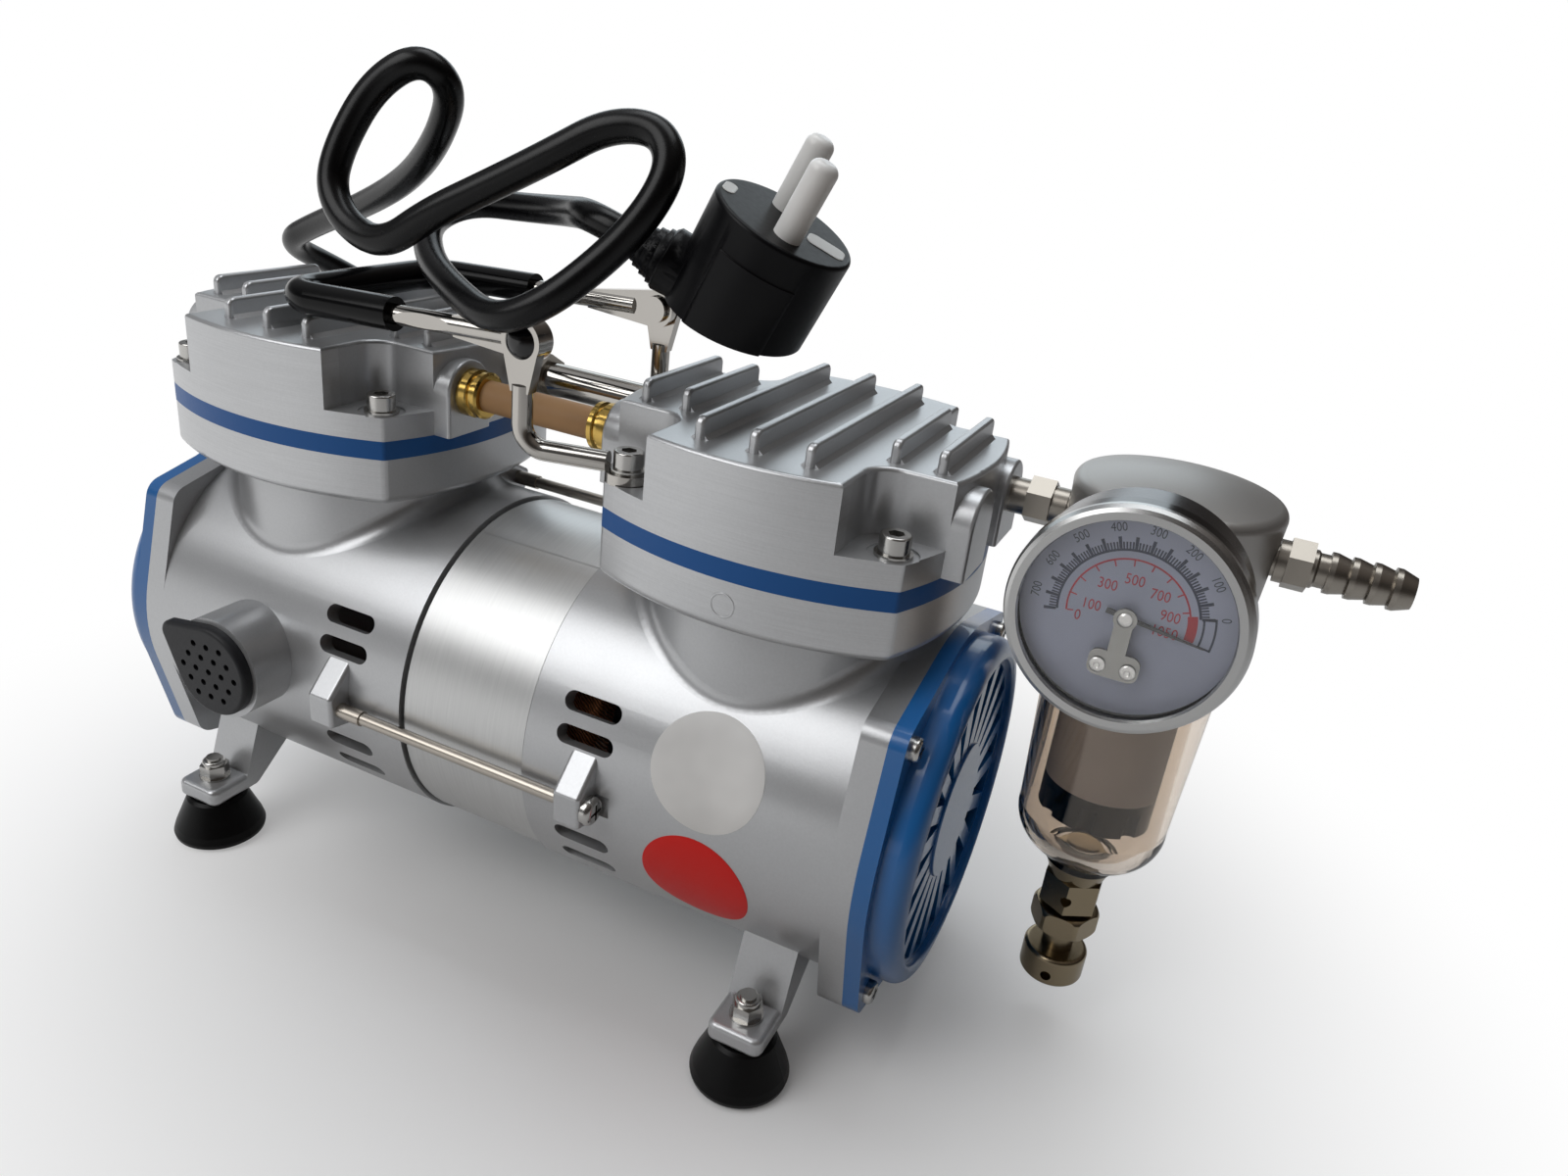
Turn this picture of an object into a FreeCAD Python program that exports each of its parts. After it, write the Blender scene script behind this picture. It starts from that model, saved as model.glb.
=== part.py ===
import FreeCAD, Part
import math
import os

# Twin-head oilless piston vacuum pump, in millimetres.
# X runs along the motor shaft, the front of the pump faces -Y and Z is up.

# Frame
FRAME_X = 48.7
FRAME_Y = -0.9

# Motor and crankcase
SHAFT_Z = 77.6
HOUSING_R = 58.2
HOUSING_WALL = 5.2
HOUSING_END_X = 134.8
BAND_R = HOUSING_R - 1.2
BAND_LEFT_X = -20.5
BAND_RIGHT_X = 26.0
BAND_GAP = 1.2
CORE_OVERHANG = 7.0
CORE_BORE_R = 30.0
SLOT_COUNT = 12
SLOT_WIDTH = 6.0
SLOT_DEPTH = 13.0
SLOT_WALL = 3.0
WINDING_REACH = 9.0
AIR_GAP = 0.5
SHAFT_R = 7.0
SHAFT_STUB = 3.0
BULKHEAD_X = 59.0
BULKHEAD_THICKNESS = 7.0
BEARING_R = 16.0
BEARING_WIDTH = 9.0
RUNNING_CLEARANCE = 0.05

# End flanges and end covers
EAR_OFFSET = HOUSING_R - 15.8
EAR_R = 6.8
FLANGE_THICKNESS = 8.0
COVER_SCREW_R = 2.0
COVER_SCREW_HEAD_R = 3.6
COVER_SCREW_HEAD_H = 2.6
COVER_PLATE = 5.0
COVER_DOME_R = HOUSING_R - 2.7
COVER_FACE_R = COVER_DOME_R - 5.0
COVER_REACH = 9.4
COVER_WALL = 2.6
COVER_RECESS = 2.8
COVER_RECESS_R = COVER_FACE_R - 1.5
COVER_RECESS_ROUND = 1.2
GRILLE_OPENINGS = 20
GRILLE_SPOKE = 5.6
GRILLE_INNER_R = 22.0
GRILLE_OUTER_R = COVER_RECESS_R - 1.5
GRILLE_HUB_R = 21.5
GRILLE_HUB_H = 0.8
FAN_X = 121.0
FAN_WIDTH = 11.0
FAN_R = HOUSING_R - 11.2
FAN_HUB_R = 12.0
FAN_BLADES = 9
FAN_PITCH = 55.0

# Cylinders and heads
HEAD_X = 84.2
CORNER_X = 44.7
CORNER_Y = 41.9
SIDE_REACH_X = 53.9
SIDE_REACH_Y = 52.5
NECK_R = HOUSING_R - 14.2
NECK_FILLET = 7.0
LINER_R = 36.0
LINER_LEDGE = 2.0
LINER_Z = 132.0
BORE_R = 31.6
BASE_Z = 141.5
BASE_CORNER_R = 3.4
HEAD_CORNER_R = 2.0
PLATE_Z = 156.5
COVER_Z = 162.5
LEDGE_Z = 170.3
SEAT_DEPTH = 0.4
SEAT_R = 7.0
TOP_Z = 189.0
FIN_TOP_Z = 195.2
FIN_THICKNESS = 2.8
FIN_FOOT = 1.2
FIN_TOP_ROUND = 1.0
FIN_END_ROUND = 2.5
FIN_PITCH = 15.9
LONG_FIN_Y = 43.0
SHORT_FIN_Y = 22.5
SHORT_FIN_X = (31.6, 44.6)
POCKET_X = 28.0
POCKET_Y = 26.0
POCKET_CORNER_R = 8.0
CHAMBER_WALL = 4.0
CHAMBER_INSET = 9.0
SCREW_X = 39.9
SCREW_Y = 37.1
HEAD_SCREW_R = 2.5
SCREW_GRIP = 11.0
SCREW_CLEARANCE = 0.2
VALVE_PORT_R = 3.5
REED_T = 0.6
REED_WIDTH = 9.0
REED_BACK = 6.0
REED_FRONT = 9.0
SCREW_HEAD_R = 4.25
SCREW_HEAD_H = 5.0
WASHER_R = 5.2
WASHER_H = 1.0
RECESS_WIDTH = 0.9
RECESS_DEPTH = 1.2

# Ports on the head covers
PORT_Y = 16.0
PORT_Z = 176.0
PORT_BOSS_R = POCKET_Y - PORT_Y
PORT_BOSS_X = SIDE_REACH_X + 2.6
PORT_BOSS_ROUND = 1.0
PORT_BORE_R = 4.6

# Crank mechanism
CRANK_THROW = 4.0
CRANK_R = 14.0
CRANK_WIDTH = 12.0
ROD_EYE_R = 19.5
ROD_WIDTH = 10.0
ROD_SHANK_UP = 12.0
ROD_SHANK_HALF = (9.0, 6.0)
ROD_PAD_R = 13.0
ROD_PAD_H = 4.0
COUNTERWEIGHT_R = 26.0
COUNTERWEIGHT_WIDTH = 6.0
PISTON_R = 27.0
PISTON_H = 9.0
PISTON_TOP_Z = 155.3

# Tie rods through lugs at three places round the housing
TIE_ANGLES = (181.5, 61.5, -58.5)
TIE_RADIUS = HOUSING_R + 3.4
TIE_R = 2.0
TIE_SLEEVE_R = 2.5
TIE_SLEEVE = 9.0
LUG_R = 5.4
LUG_INNER_X = 42.5
LUG_OUTER_X = 52.0
LUG_END = 4.4
LUG_SLOPE = 17.0
LUG_ROUND = 1.4
LUG_BLIND = 8.0
TIE_SCREW_R = 4.5
TIE_SCREW_H = 3.2
TIE_SCREW_ROOM = 0.6

# Feet
FOOT_X = 109.0
FOOT_Y = 58.2
FOOT_LUG_WIDTH = 18.0
FOOT_LUG_Z = 16.5
FOOT_LUG_THICKNESS = 6.5
FOOT_LUG_REACH = 67.0
FOOT_LUG_ROUND = 1.8
FOOT_TOP_R = 10.2
FOOT_BASE_R = 15.4
FOOT_BOLT_R = 2.5
FOOT_BOLT_Z = 8.0
FOOT_WASHER_R = 5.2
FOOT_WASHER_H = 0.8
FOOT_NUT_AF = 8.5
FOOT_NUT_H = 4.5
FOOT_NUT_COLLAR_R = 3.9
FOOT_NUT_COLLAR = 1.8

# Vent slots in the housings
VENT_X0 = 36.5
VENT_X1 = 56.0
VENT_HEIGHT = 6.0
VENT_ANGLES = (27.0, 17.0, -19.0, -31.0)

# Breather on the left housing
BREATHER_X = -84.5
BREATHER_Z = 82.0
BREATHER_BOSS_R = 17.5
BREATHER_BOSS_WALL = 5.0
BREATHER_BOSS_Y = -HOUSING_R - 13.7
BREATHER_CAP_R = 15.6
BREATHER_CAP_Y = BREATHER_BOSS_Y - 3.5
BREATHER_SPIGOT = 4.0
BREATHER_TIP_X = -100.9
BREATHER_TIP_Z = 91.2
BREATHER_TIP_R = 4.0
BREATHER_HOLE_R = 1.1
BREATHER_HOLE_PITCH = 5.6
BREATHER_HOLE_REACH = 11.5

# Crossover lines between the heads
SLEEVE_R = 5.0
SLEEVE_BORE_R = 3.2
CONNECTOR_R = 7.6
CONNECTOR_NECK_R = 6.6
CONNECTOR_REACH = 7.6
LINE_R = 5.6
LINE_NUT_R = 8.0
LINE_NUT_LENGTH = 8.0
LINE_BORE_R = 3.4

# Carrying handle
PIVOT_X = 14.0
PIVOT_Z = 204.5
BRACKET_YAW = 14.6
BRACKET_ROD_R = 3.0
BRACKET_ROD_Z = 174.6
BRACKET_EYE_R = 6.3
BRACKET_EYE_THICKNESS = 3.5
BRACKET_EYELET_R = 6.5
BRACKET_EYELET_H = 3.0
BRACKET_BEND_R = 7.0
BRACKET_NECK = 14.0
PIVOT_PIN_R = 2.5
PIVOT_HEAD_R = 4.3
PIVOT_HEAD_H = 1.6
PIVOT_CAP_R = 4.8
PIVOT_CAP_H = 2.6
HANDLE_REST_Z = 200.5
HANDLE_BAR_X = -77.0
HANDLE_ROD_R = 3.0
HANDLE_GRIP_R = 5.0
HANDLE_GRIP_X = -34.0
HANDLE_BEND_R = 12.0
HANDLE_EYE_R = 6.0
HANDLE_EYE_THICKNESS = 3.2
HANDLE_EYE_GAP = 0.3
HANDLE_FLAT_X = -12.0
HANDLE_SCOOP_X = -22.0
HANDLE_SCOOP_R = 62.0
HANDLE_SCOOP_DEPTH = 0.8

# Suction filter
FILTER_X = 185.0
FILTER_Y = PORT_Y
FILTER_HEAD_R = 28.6
FILTER_HEAD_LOW_R = 26.0
FILTER_HEAD_TOP_Z = 189.0
FILTER_DOME = 4.0
FILTER_RIM = 3.2
FILTER_HEAD_Z = 146.0
BOWL_TOP_R = 24.8
BOWL_LOW_R = 22.4
BOWL_WALL = 2.4
BOWL_SHOULDER_Z = 76.0
BOWL_ROUND = 8.0
BOWL_GAP = 0.3
BOWL_NECK_Z = 65.5
BOWL_NECK_R = 11.0
BOWL_COLLAR = 8.0
BOWL_COLLAR_R = 22.0
COLLAR_CLEARANCE = 0.1
COLLAR_ROOM = 0.4
ELEMENT_R = 16.5
ELEMENT_WALL = 5.0
ELEMENT_Z = 97.0
BAFFLE_Z = 86.0
BAFFLE_NOTCHES = 8
BAFFLE_NOTCH_R = 2.6
DRAIN_COLLAR_R = (8.5, 10.5)
DRAIN_HEX_AF = 17.0
DRAIN_HEX_Z = 60.0
DRAIN_BODY_Z = 49.0
DRAIN_NUT_AF = 19.0
DRAIN_NUT_R = 10.6
DRAIN_NUT_TOP_Z = 47.5
DRAIN_NUT_Z = 39.5
DRAIN_STEM_R = 5.0
KNOB_R = 10.2
KNOB_TOP_Z = 31.0
KNOB_BOTTOM_Z = 20.5
KNOB_HOLE_R = 1.7
NIPPLE_HEX_AF = 12.0
NIPPLE_HEX = 7.0
NIPPLE_R = 5.2
FITTING_STAND_OFF = 0.5
BARB_HEX_AF = 12.4
BARB_HEX = 6.0
BARB_R = 4.6
BARB_RIDGE_R = 5.6
BARB_RIDGES = 4
BARB_PITCH = 5.2
BARB_LAND = 1.4
BARB_BORE_R = 3.0
BARB_TIP_X = 246.6

# Vacuum gauge
GAUGE_X = 183.2
GAUGE_Z = 169.3
GAUGE_FRONT_Y = -39.0
GAUGE_BEZEL_R = 29.3
GAUGE_BEZEL_DEPTH = 8.5
GAUGE_CASE_R = 28.0
GAUGE_CASE_WALL = 1.2
GAUGE_BACK_Y = -15.0
DIAL_R = 26.2
DIAL_Y = -32.5
DIAL_T = 0.8
GAUGE_LIP = 3.0
GAUGE_MOVEMENT_R = 9.0
GAUGE_STEM_AF = 11.0
ARBOR_R = 0.8
GLASS_THICKNESS = 1.6
NEEDLE_LENGTH = 19.0
NEEDLE_REST_ANGLE = -8.0

# Power cord
GLAND_X = -96.0
GLAND_Z = 92.0
GLAND_R = 8.5
GLAND_FACE_Y = HOUSING_R + 0.3
GLAND_PAD = 13.0
GLAND_END_Y = 68.0
CORD_ENTRY_ROOM = 1.0
CORD_R = 4.3
CORD_LAST_RUN = 12.0
PLUG_FACE = (74.4, -15.8, 243.1)
PLUG_AXIS = (0.432, -0.030, 0.9015)
PLUG_R = 20.0
PLUG_LENGTH = 38.0
PLUG_ROUND = 1.2
PLUG_BEVEL = 10.0
PLUG_ARM = (-0.860, -0.3147, 0.4018)
PLUG_ARM_DEPTH = 26.0
PLUG_COLLAR_R = 9.5
PLUG_COLLAR = 24.0
PLUG_ARM_LENGTH = 34.0
RELIEF_R = (8.0, 4.9)
RELIEF_GROOVES = 3
RELIEF_GROOVE = 0.9
PLUG_PANEL_R = 20.8
PLUG_PANEL_HALF = 11.0
PLUG_PANEL = (-31.0, -9.0)
PIN_TURN = 13.0
PIN_R = 3.9
PIN_LENGTH = 21.0
PIN_SPACING = 19.0

X = FreeCAD.Vector(1, 0, 0)
Y = FreeCAD.Vector(0, 1, 0)
Z = FreeCAD.Vector(0, 0, 1)
ORIGIN = FreeCAD.Vector(0, 0, 0)


def point(x, y, z):
    return FreeCAD.Vector(x, y, z)


def cylinder(radius, start, end):
    """Cylinder of a radius from one point to another."""
    way = end - start
    return Part.makeCylinder(radius, way.Length, start, way)


def upright(radius, x, y, z0, z1):
    """Cylinder that stands along Z."""
    return cylinder(radius, point(x, y, z0), point(x, y, z1))


def crosswise(radius, x, z, y0, y1):
    """Cylinder that lies along Y."""
    return cylinder(radius, point(x, y0, z), point(x, y1, z))


def ring(outer, inner, start, end):
    """Tube between two points."""
    return cylinder(outer, start, end).cut(cylinder(inner, start, end))


def box(x0, x1, y0, y1, z0, z1):
    return Part.makeBox(x1 - x0, y1 - y0, z1 - z0, point(x0, y0, z0))


def fuse(*shapes):
    whole = shapes[0].multiFuse(list(shapes[1:]))
    return whole.removeSplitter()


def polygon_prism(points, way):
    """Prism over a flat polygon given as 3-D points."""
    return Part.Face(Part.makePolygon(list(points) + [points[0]])).extrude(way)


def turned(profile, base, axis):
    """Solid of revolution of a closed polygon profile."""
    return Part.Face(Part.makePolygon(list(profile) + [profile[0]])).revolve(base, axis, 360)


def hexagon(flats, start, end, turn=0.0):
    """Hexagonal prism between two points, by its width across flats."""
    way = end - start
    radius = flats / math.sqrt(3)
    corners = [point(radius * math.cos(math.radians(60 * k + turn)),
                     radius * math.sin(math.radians(60 * k + turn)), 0) for k in range(6)]
    prism = polygon_prism(corners, Z * way.Length)
    prism.Placement = FreeCAD.Placement(start, FreeCAD.Rotation(Z, way))
    return prism


def rounded_nut(flats, radius, rounding, start, end):
    """Hexagonal nut whose corners run out in a rounded ring at both ends."""
    drum = cylinder(radius, start, end)
    drum = drum.makeFillet(rounding, [e for e in drum.Edges if isinstance(e.Curve, Part.Circle)])
    return hexagon(flats, start, end).common(drum)


def cross_recess(top, way, reach, depth):
    """Cutter for the cross recess of a screw head whose top is square to a way out of the screw."""
    half = RECESS_WIDTH / 2
    cross = fuse(box(-reach, reach, -half, half, -depth, 1), box(-half, half, -reach, reach, -depth, 1))
    cross.Placement = FreeCAD.Placement(top, FreeCAD.Rotation(Z, way))
    return cross


def edges_where(shape, test):
    return [edge for edge in shape.Edges if test(edge)]


def is_vertical(edge):
    if len(edge.Vertexes) < 2:
        return False
    way = edge.Vertexes[1].Point - edge.Vertexes[0].Point
    return abs(way.z) > 0.99 * way.Length and way.Length > 0.5


def mirrored_x(shape):
    return shape.mirror(ORIGIN, X)


def mirrored_y(shape):
    return shape.mirror(ORIGIN, Y)


def round_path(points, radii):
    """Wire of straight runs with a tangent arc of the given radius at each inner point."""
    parts = []
    start = points[0]
    for before, corner, after, radius in zip(points, points[1:], points[2:], radii):
        inward = (before - corner).normalize()
        outward = (after - corner).normalize()
        half_turn = (math.pi - inward.getAngle(outward)) / 2
        reach = radius * math.tan(half_turn)
        first = corner + inward * reach
        last = corner + outward * reach
        bisector = (inward + outward).normalize()
        middle = corner + bisector * (radius / math.cos(half_turn) - radius)
        parts.append(Part.makeLine(start, first))
        parts.append(Part.Arc(first, middle, last).toShape())
        start = last
    parts.append(Part.makeLine(start, points[-1]))
    return Part.Wire(parts)


def tube_along(wire, radius):
    """Round bar swept along a wire."""
    start = wire.Edges[0].valueAt(wire.Edges[0].FirstParameter)
    way = wire.Edges[0].tangentAt(wire.Edges[0].FirstParameter)
    section = Part.Wire(Part.makeCircle(radius, start, way))
    return wire.makePipeShell([section], True, False)


def head_prism(z0, z1, corner_r):
    """Prism over the head's bulged rectangle, centred on the Z axis."""
    cx, cy = CORNER_X, CORNER_Y
    sx, sy = SIDE_REACH_X, SIDE_REACH_Y
    corners = [point(cx, -cy, z0), point(cx, cy, z0), point(-cx, cy, z0), point(-cx, -cy, z0)]
    middles = [point(sx, 0, z0), point(0, sy, z0), point(-sx, 0, z0), point(0, -sy, z0)]
    sides = [Part.Arc(corners[k], middles[k], corners[(k + 1) % 4]).toShape() for k in range(4)]
    prism = Part.Face(Part.Wire(sides)).extrude(Z * (z1 - z0))
    return prism.makeFillet(corner_r, edges_where(prism, is_vertical))


def flange_prism(x0, x1):
    """Prism along X over the end flange's outline: a circle with four screw ears."""
    parts = [cylinder(HOUSING_R, on_shaft(x0), on_shaft(x1))]
    tangent_turn = math.degrees(math.acos((HOUSING_R - EAR_R) / (EAR_OFFSET * math.sqrt(2))))
    for diagonal in (45, 135, 225, 315):
        ear = on_shaft(x0) + around_shaft(EAR_OFFSET * math.sqrt(2), diagonal)
        parts.append(cylinder(EAR_R, ear, ear + X * (x1 - x0)))
        upper = around_shaft(1, diagonal + tangent_turn)
        lower = around_shaft(1, diagonal - tangent_turn)
        web = [on_shaft(x0) + upper * HOUSING_R, ear + upper * EAR_R, ear + lower * EAR_R,
               on_shaft(x0) + lower * HOUSING_R]
        parts.append(polygon_prism(web, X * (x1 - x0)))
    return fuse(*parts)


def on_shaft(x):
    return point(x, 0, SHAFT_Z)


def around_shaft(radius, angle):
    """Step square to the shaft; angle 0 is the rear (+Y) and 90 is up."""
    turn = math.radians(angle)
    return point(0, radius * math.cos(turn), radius * math.sin(turn))


def tie_lug(angle):
    """Cast lug that holds a tie rod, square to the barrel at its angle."""
    out = around_shaft(1, angle)
    side = around_shaft(1, angle - 90 if angle > 90 else angle + 90)
    root = HOUSING_R - HOUSING_WALL + 1
    corners = [(root, LUG_SLOPE), (TIE_RADIUS + LUG_END, LUG_R), (TIE_RADIUS + LUG_END, -LUG_R), (root, -8.0)]
    outline = [on_shaft(LUG_INNER_X) + out * r + side * t for r, t in corners]
    lug = polygon_prism(outline, X * (LUG_OUTER_X - LUG_INNER_X))
    free = edges_where(lug, lambda e: (e.CenterOfMass - on_shaft(0)).dot(out) > root + 2)
    return lug.makeFillet(LUG_ROUND, free)


def foot_lug():
    """Front foot lug of the right-hand housing: a plate with a sloping web up to the barrel."""
    top = FOOT_LUG_Z + FOOT_LUG_THICKNESS
    outline = [(-30, 32), (-49, FOOT_LUG_Z), (-FOOT_LUG_REACH, FOOT_LUG_Z), (-FOOT_LUG_REACH, top),
               (-52, top), (-47.5, 36), (-44, 46)]
    x0 = FOOT_X - FOOT_LUG_WIDTH / 2
    lug = polygon_prism([point(x0, y, z) for y, z in outline], X * FOOT_LUG_WIDTH)
    tips = edges_where(lug, lambda e: is_vertical(e) and e.CenterOfMass.y < -FOOT_LUG_REACH + 0.1)
    lug = lug.makeFillet(3.0, tips)
    rims = edges_where(lug, lambda e: e.BoundBox.ZLength < 0.01 and e.CenterOfMass.y < -50.0)
    rims = [e for e in rims if e.BoundBox.XLength < FOOT_LUG_WIDTH - 1]
    return lug.makeFillet(FOOT_LUG_ROUND, rims)


def vent(angle):
    """Cutter for one vent slot on the front of the right-hand housing."""
    r = VENT_HEIGHT / 2
    y0, y1 = -HOUSING_R - 6, -HOUSING_R + HOUSING_WALL + 6
    slot = fuse(box(VENT_X0 + r, VENT_X1 - r, y0, y1, SHAFT_Z - r, SHAFT_Z + r),
                cylinder(r, point(VENT_X0 + r, y0, SHAFT_Z), point(VENT_X0 + r, y1, SHAFT_Z)),
                cylinder(r, point(VENT_X1 - r, y0, SHAFT_Z), point(VENT_X1 - r, y1, SHAFT_Z)))
    slot.rotate(on_shaft(0), X, -angle)
    return slot


def ear_points(x):
    return [on_shaft(x) + around_shaft(EAR_OFFSET * math.sqrt(2), a) for a in (45, 135, 225, 315)]


def housing(inner_x, rods_end_inside):
    """Right-hand housing casting: barrel, cylinder neck, head base, end flange, lugs and vents."""
    barrel = cylinder(HOUSING_R, on_shaft(inner_x), on_shaft(HOUSING_END_X))
    neck = cylinder(NECK_R, point(HEAD_X, 0, SHAFT_Z), point(HEAD_X, 0, BASE_Z + 1))
    body = barrel.fuse(neck)
    seam = edges_where(body, lambda e: not isinstance(e.Curve, (Part.Line, Part.Circle)))
    body = body.makeFillet(NECK_FILLET, seam)
    base = head_prism(BASE_Z, PLATE_Z, BASE_CORNER_R)
    base = base.makeFillet(3.0, edges_where(base, lambda e: e.BoundBox.ZMax < BASE_Z + 0.01))
    base.translate(X * HEAD_X)
    lugs = [tie_lug(angle) for angle in TIE_ANGLES]
    feet = [foot_lug(), mirrored_y(foot_lug())]
    flange = flange_prism(HOUSING_END_X - FLANGE_THICKNESS, HOUSING_END_X)
    body = fuse(body, base, flange, *lugs, *feet)
    inside_r = HOUSING_R - HOUSING_WALL
    web_end = BULKHEAD_X + BULKHEAD_THICKNESS
    cuts = [
        cylinder(inside_r, on_shaft(inner_x - 1), on_shaft(BULKHEAD_X)),
        cylinder(inside_r, on_shaft(web_end), on_shaft(HOUSING_END_X + 1)),
        cylinder(BEARING_R + RUNNING_CLEARANCE, on_shaft(BULKHEAD_X - 1), on_shaft(web_end + 1)),
        cylinder(LINER_R - LINER_LEDGE, point(HEAD_X, 0, SHAFT_Z), point(HEAD_X, 0, PLATE_Z + 1)),
        cylinder(LINER_R + RUNNING_CLEARANCE, point(HEAD_X, 0, LINER_Z), point(HEAD_X, 0, PLATE_Z + 1)),
    ]
    for angle in VENT_ANGLES:
        cuts += [vent(angle), mirrored_y(vent(angle))]
    for place in ear_points(HOUSING_END_X - 7):
        cuts.append(cylinder(COVER_SCREW_R, place, place + X * 8))
    for angle in TIE_ANGLES:
        rod = on_shaft(LUG_INNER_X - 1) + around_shaft(TIE_RADIUS, angle)
        seat = on_shaft(LUG_OUTER_X) + around_shaft(TIE_RADIUS, angle)
        if rods_end_inside:
            cuts.append(cylinder(TIE_R + RUNNING_CLEARANCE, rod, rod + X * (LUG_BLIND + 1)))
        else:
            cuts.append(cylinder(TIE_R + RUNNING_CLEARANCE, rod, seat + X))
            cuts.append(cylinder(TIE_SCREW_R + TIE_SCREW_ROOM, seat, seat + X * (TIE_SCREW_H + 2)))
    for y in (-FOOT_Y, FOOT_Y):
        cuts.append(upright(FOOT_BOLT_R + RUNNING_CLEARANCE, FOOT_X, y, FOOT_LUG_Z - 1,
                            FOOT_LUG_Z + FOOT_LUG_THICKNESS + 1))
    for x, y in screw_places():
        cuts.append(upright(HEAD_SCREW_R, HEAD_X + x, y, PLATE_Z - SCREW_GRIP, PLATE_Z + 1))
    return body.cut(cuts)


def screw_places():
    return [(x, y) for x in (-SCREW_X, SCREW_X) for y in (-SCREW_Y, SCREW_Y)]


def housing_left():
    """Left-hand housing with the breather boss in front and the cord entry behind."""
    casting = housing(-BAND_LEFT_X + BAND_GAP, True)
    inside = cylinder(HOUSING_R - 1, on_shaft(0), on_shaft(HOUSING_END_X))
    boss = crosswise(BREATHER_BOSS_R, -BREATHER_X, BREATHER_Z, -HOUSING_R + HOUSING_WALL + 4, BREATHER_BOSS_Y)
    boss = boss.cut(inside)
    bore_r = BREATHER_BOSS_R - BREATHER_BOSS_WALL
    bore = crosswise(bore_r, -BREATHER_X, BREATHER_Z, -HOUSING_R / 2, BREATHER_BOSS_Y - 1)
    entry = crosswise(CORD_R + CORD_ENTRY_ROOM, -GLAND_X, GLAND_Z, HOUSING_R / 2, GLAND_FACE_Y + 1)
    pad = crosswise(GLAND_R + 2, -GLAND_X, GLAND_Z, HOUSING_R - GLAND_PAD, GLAND_FACE_Y).cut(inside)
    return mirrored_x(casting.fuse([boss, pad]).cut([bore, entry]))


def stator_core():
    """Lamination stack with closed winding slots; its bare band shows between the housings."""
    seat_r = HOUSING_R - HOUSING_WALL - RUNNING_CLEARANCE
    start, end = on_shaft(BAND_LEFT_X - CORE_OVERHANG), on_shaft(BAND_RIGHT_X + CORE_OVERHANG)
    core = fuse(cylinder(seat_r, start, end), cylinder(BAND_R, on_shaft(BAND_LEFT_X), on_shaft(BAND_RIGHT_X)))
    cuts = [cylinder(CORE_BORE_R, start - X, end + X)]
    cuts += [winding_bar(k, 0) for k in range(SLOT_COUNT)]
    return core.cut(cuts)


def winding_bar(k, clearance):
    """One slot's worth of winding, running along the shaft."""
    inner = CORE_BORE_R + SLOT_WALL + clearance
    outer = CORE_BORE_R + SLOT_WALL + SLOT_DEPTH - clearance
    half = SLOT_WIDTH / 2 - clearance
    x0, x1 = BAND_LEFT_X - CORE_OVERHANG - 1, BAND_RIGHT_X + CORE_OVERHANG + 1
    bar = box(x0, x1, -half, half, SHAFT_Z + inner, SHAFT_Z + outer)
    bar.rotate(on_shaft(0), X, 360.0 * k / SLOT_COUNT)
    return bar


def stator_windings():
    """Two end turns joined through the slots."""
    inner = CORE_BORE_R + SLOT_WALL
    outer = inner + SLOT_DEPTH
    parts = []
    for x0, way in ((BAND_LEFT_X - CORE_OVERHANG, -1), (BAND_RIGHT_X + CORE_OVERHANG, 1)):
        turns = ring(outer, inner, on_shaft(x0), on_shaft(x0 + way * WINDING_REACH))
        rims = edges_where(turns, lambda e: abs(e.CenterOfMass.x - x0 - way * WINDING_REACH) < 0.01)
        parts.append(turns.makeFillet(3.0, rims))
    parts += [winding_bar(k, 0.1) for k in range(SLOT_COUNT)]
    return fuse(*parts)


def rotor_core():
    return ring(CORE_BORE_R - AIR_GAP, SHAFT_R, on_shaft(BAND_LEFT_X - CORE_OVERHANG),
                on_shaft(BAND_RIGHT_X + CORE_OVERHANG))


def motor_shaft():
    """Shaft through both crankcases, with chamfered ends."""
    end = FAN_X + FAN_WIDTH + SHAFT_STUB
    shaft = cylinder(SHAFT_R, on_shaft(-end), on_shaft(end))
    return shaft.makeChamfer(1.0, edges_where(shaft, lambda e: abs(abs(e.CenterOfMass.x) - end) < 0.01))


def bearing():
    """Right-hand ball bearing in its bulkhead."""
    x0 = BULKHEAD_X + (BULKHEAD_THICKNESS - BEARING_WIDTH) / 2
    return ring(BEARING_R, SHAFT_R + RUNNING_CLEARANCE, on_shaft(x0), on_shaft(x0 + BEARING_WIDTH))


def crank_centre(x):
    return point(x, 0, SHAFT_Z + CRANK_THROW)


def crank():
    """Right-hand eccentric with its counterweight."""
    x0, x1 = HEAD_X - CRANK_WIDTH / 2, HEAD_X + CRANK_WIDTH / 2
    disc = cylinder(CRANK_R, crank_centre(x0), crank_centre(x1))
    web = cylinder(COUNTERWEIGHT_R, on_shaft(x0 - COUNTERWEIGHT_WIDTH), on_shaft(x0))
    reach = COUNTERWEIGHT_R + 1
    upper = box(x0 - COUNTERWEIGHT_WIDTH - 1, x0 + 1, -reach, reach, SHAFT_Z + 3, SHAFT_Z + reach)
    web = web.cut(upper).fuse(cylinder(CRANK_R - 2, on_shaft(x0 - COUNTERWEIGHT_WIDTH), on_shaft(x0)))
    return fuse(disc, web).cut(cylinder(SHAFT_R, on_shaft(x0 - COUNTERWEIGHT_WIDTH - 1), on_shaft(x1 + 1)))


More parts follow.
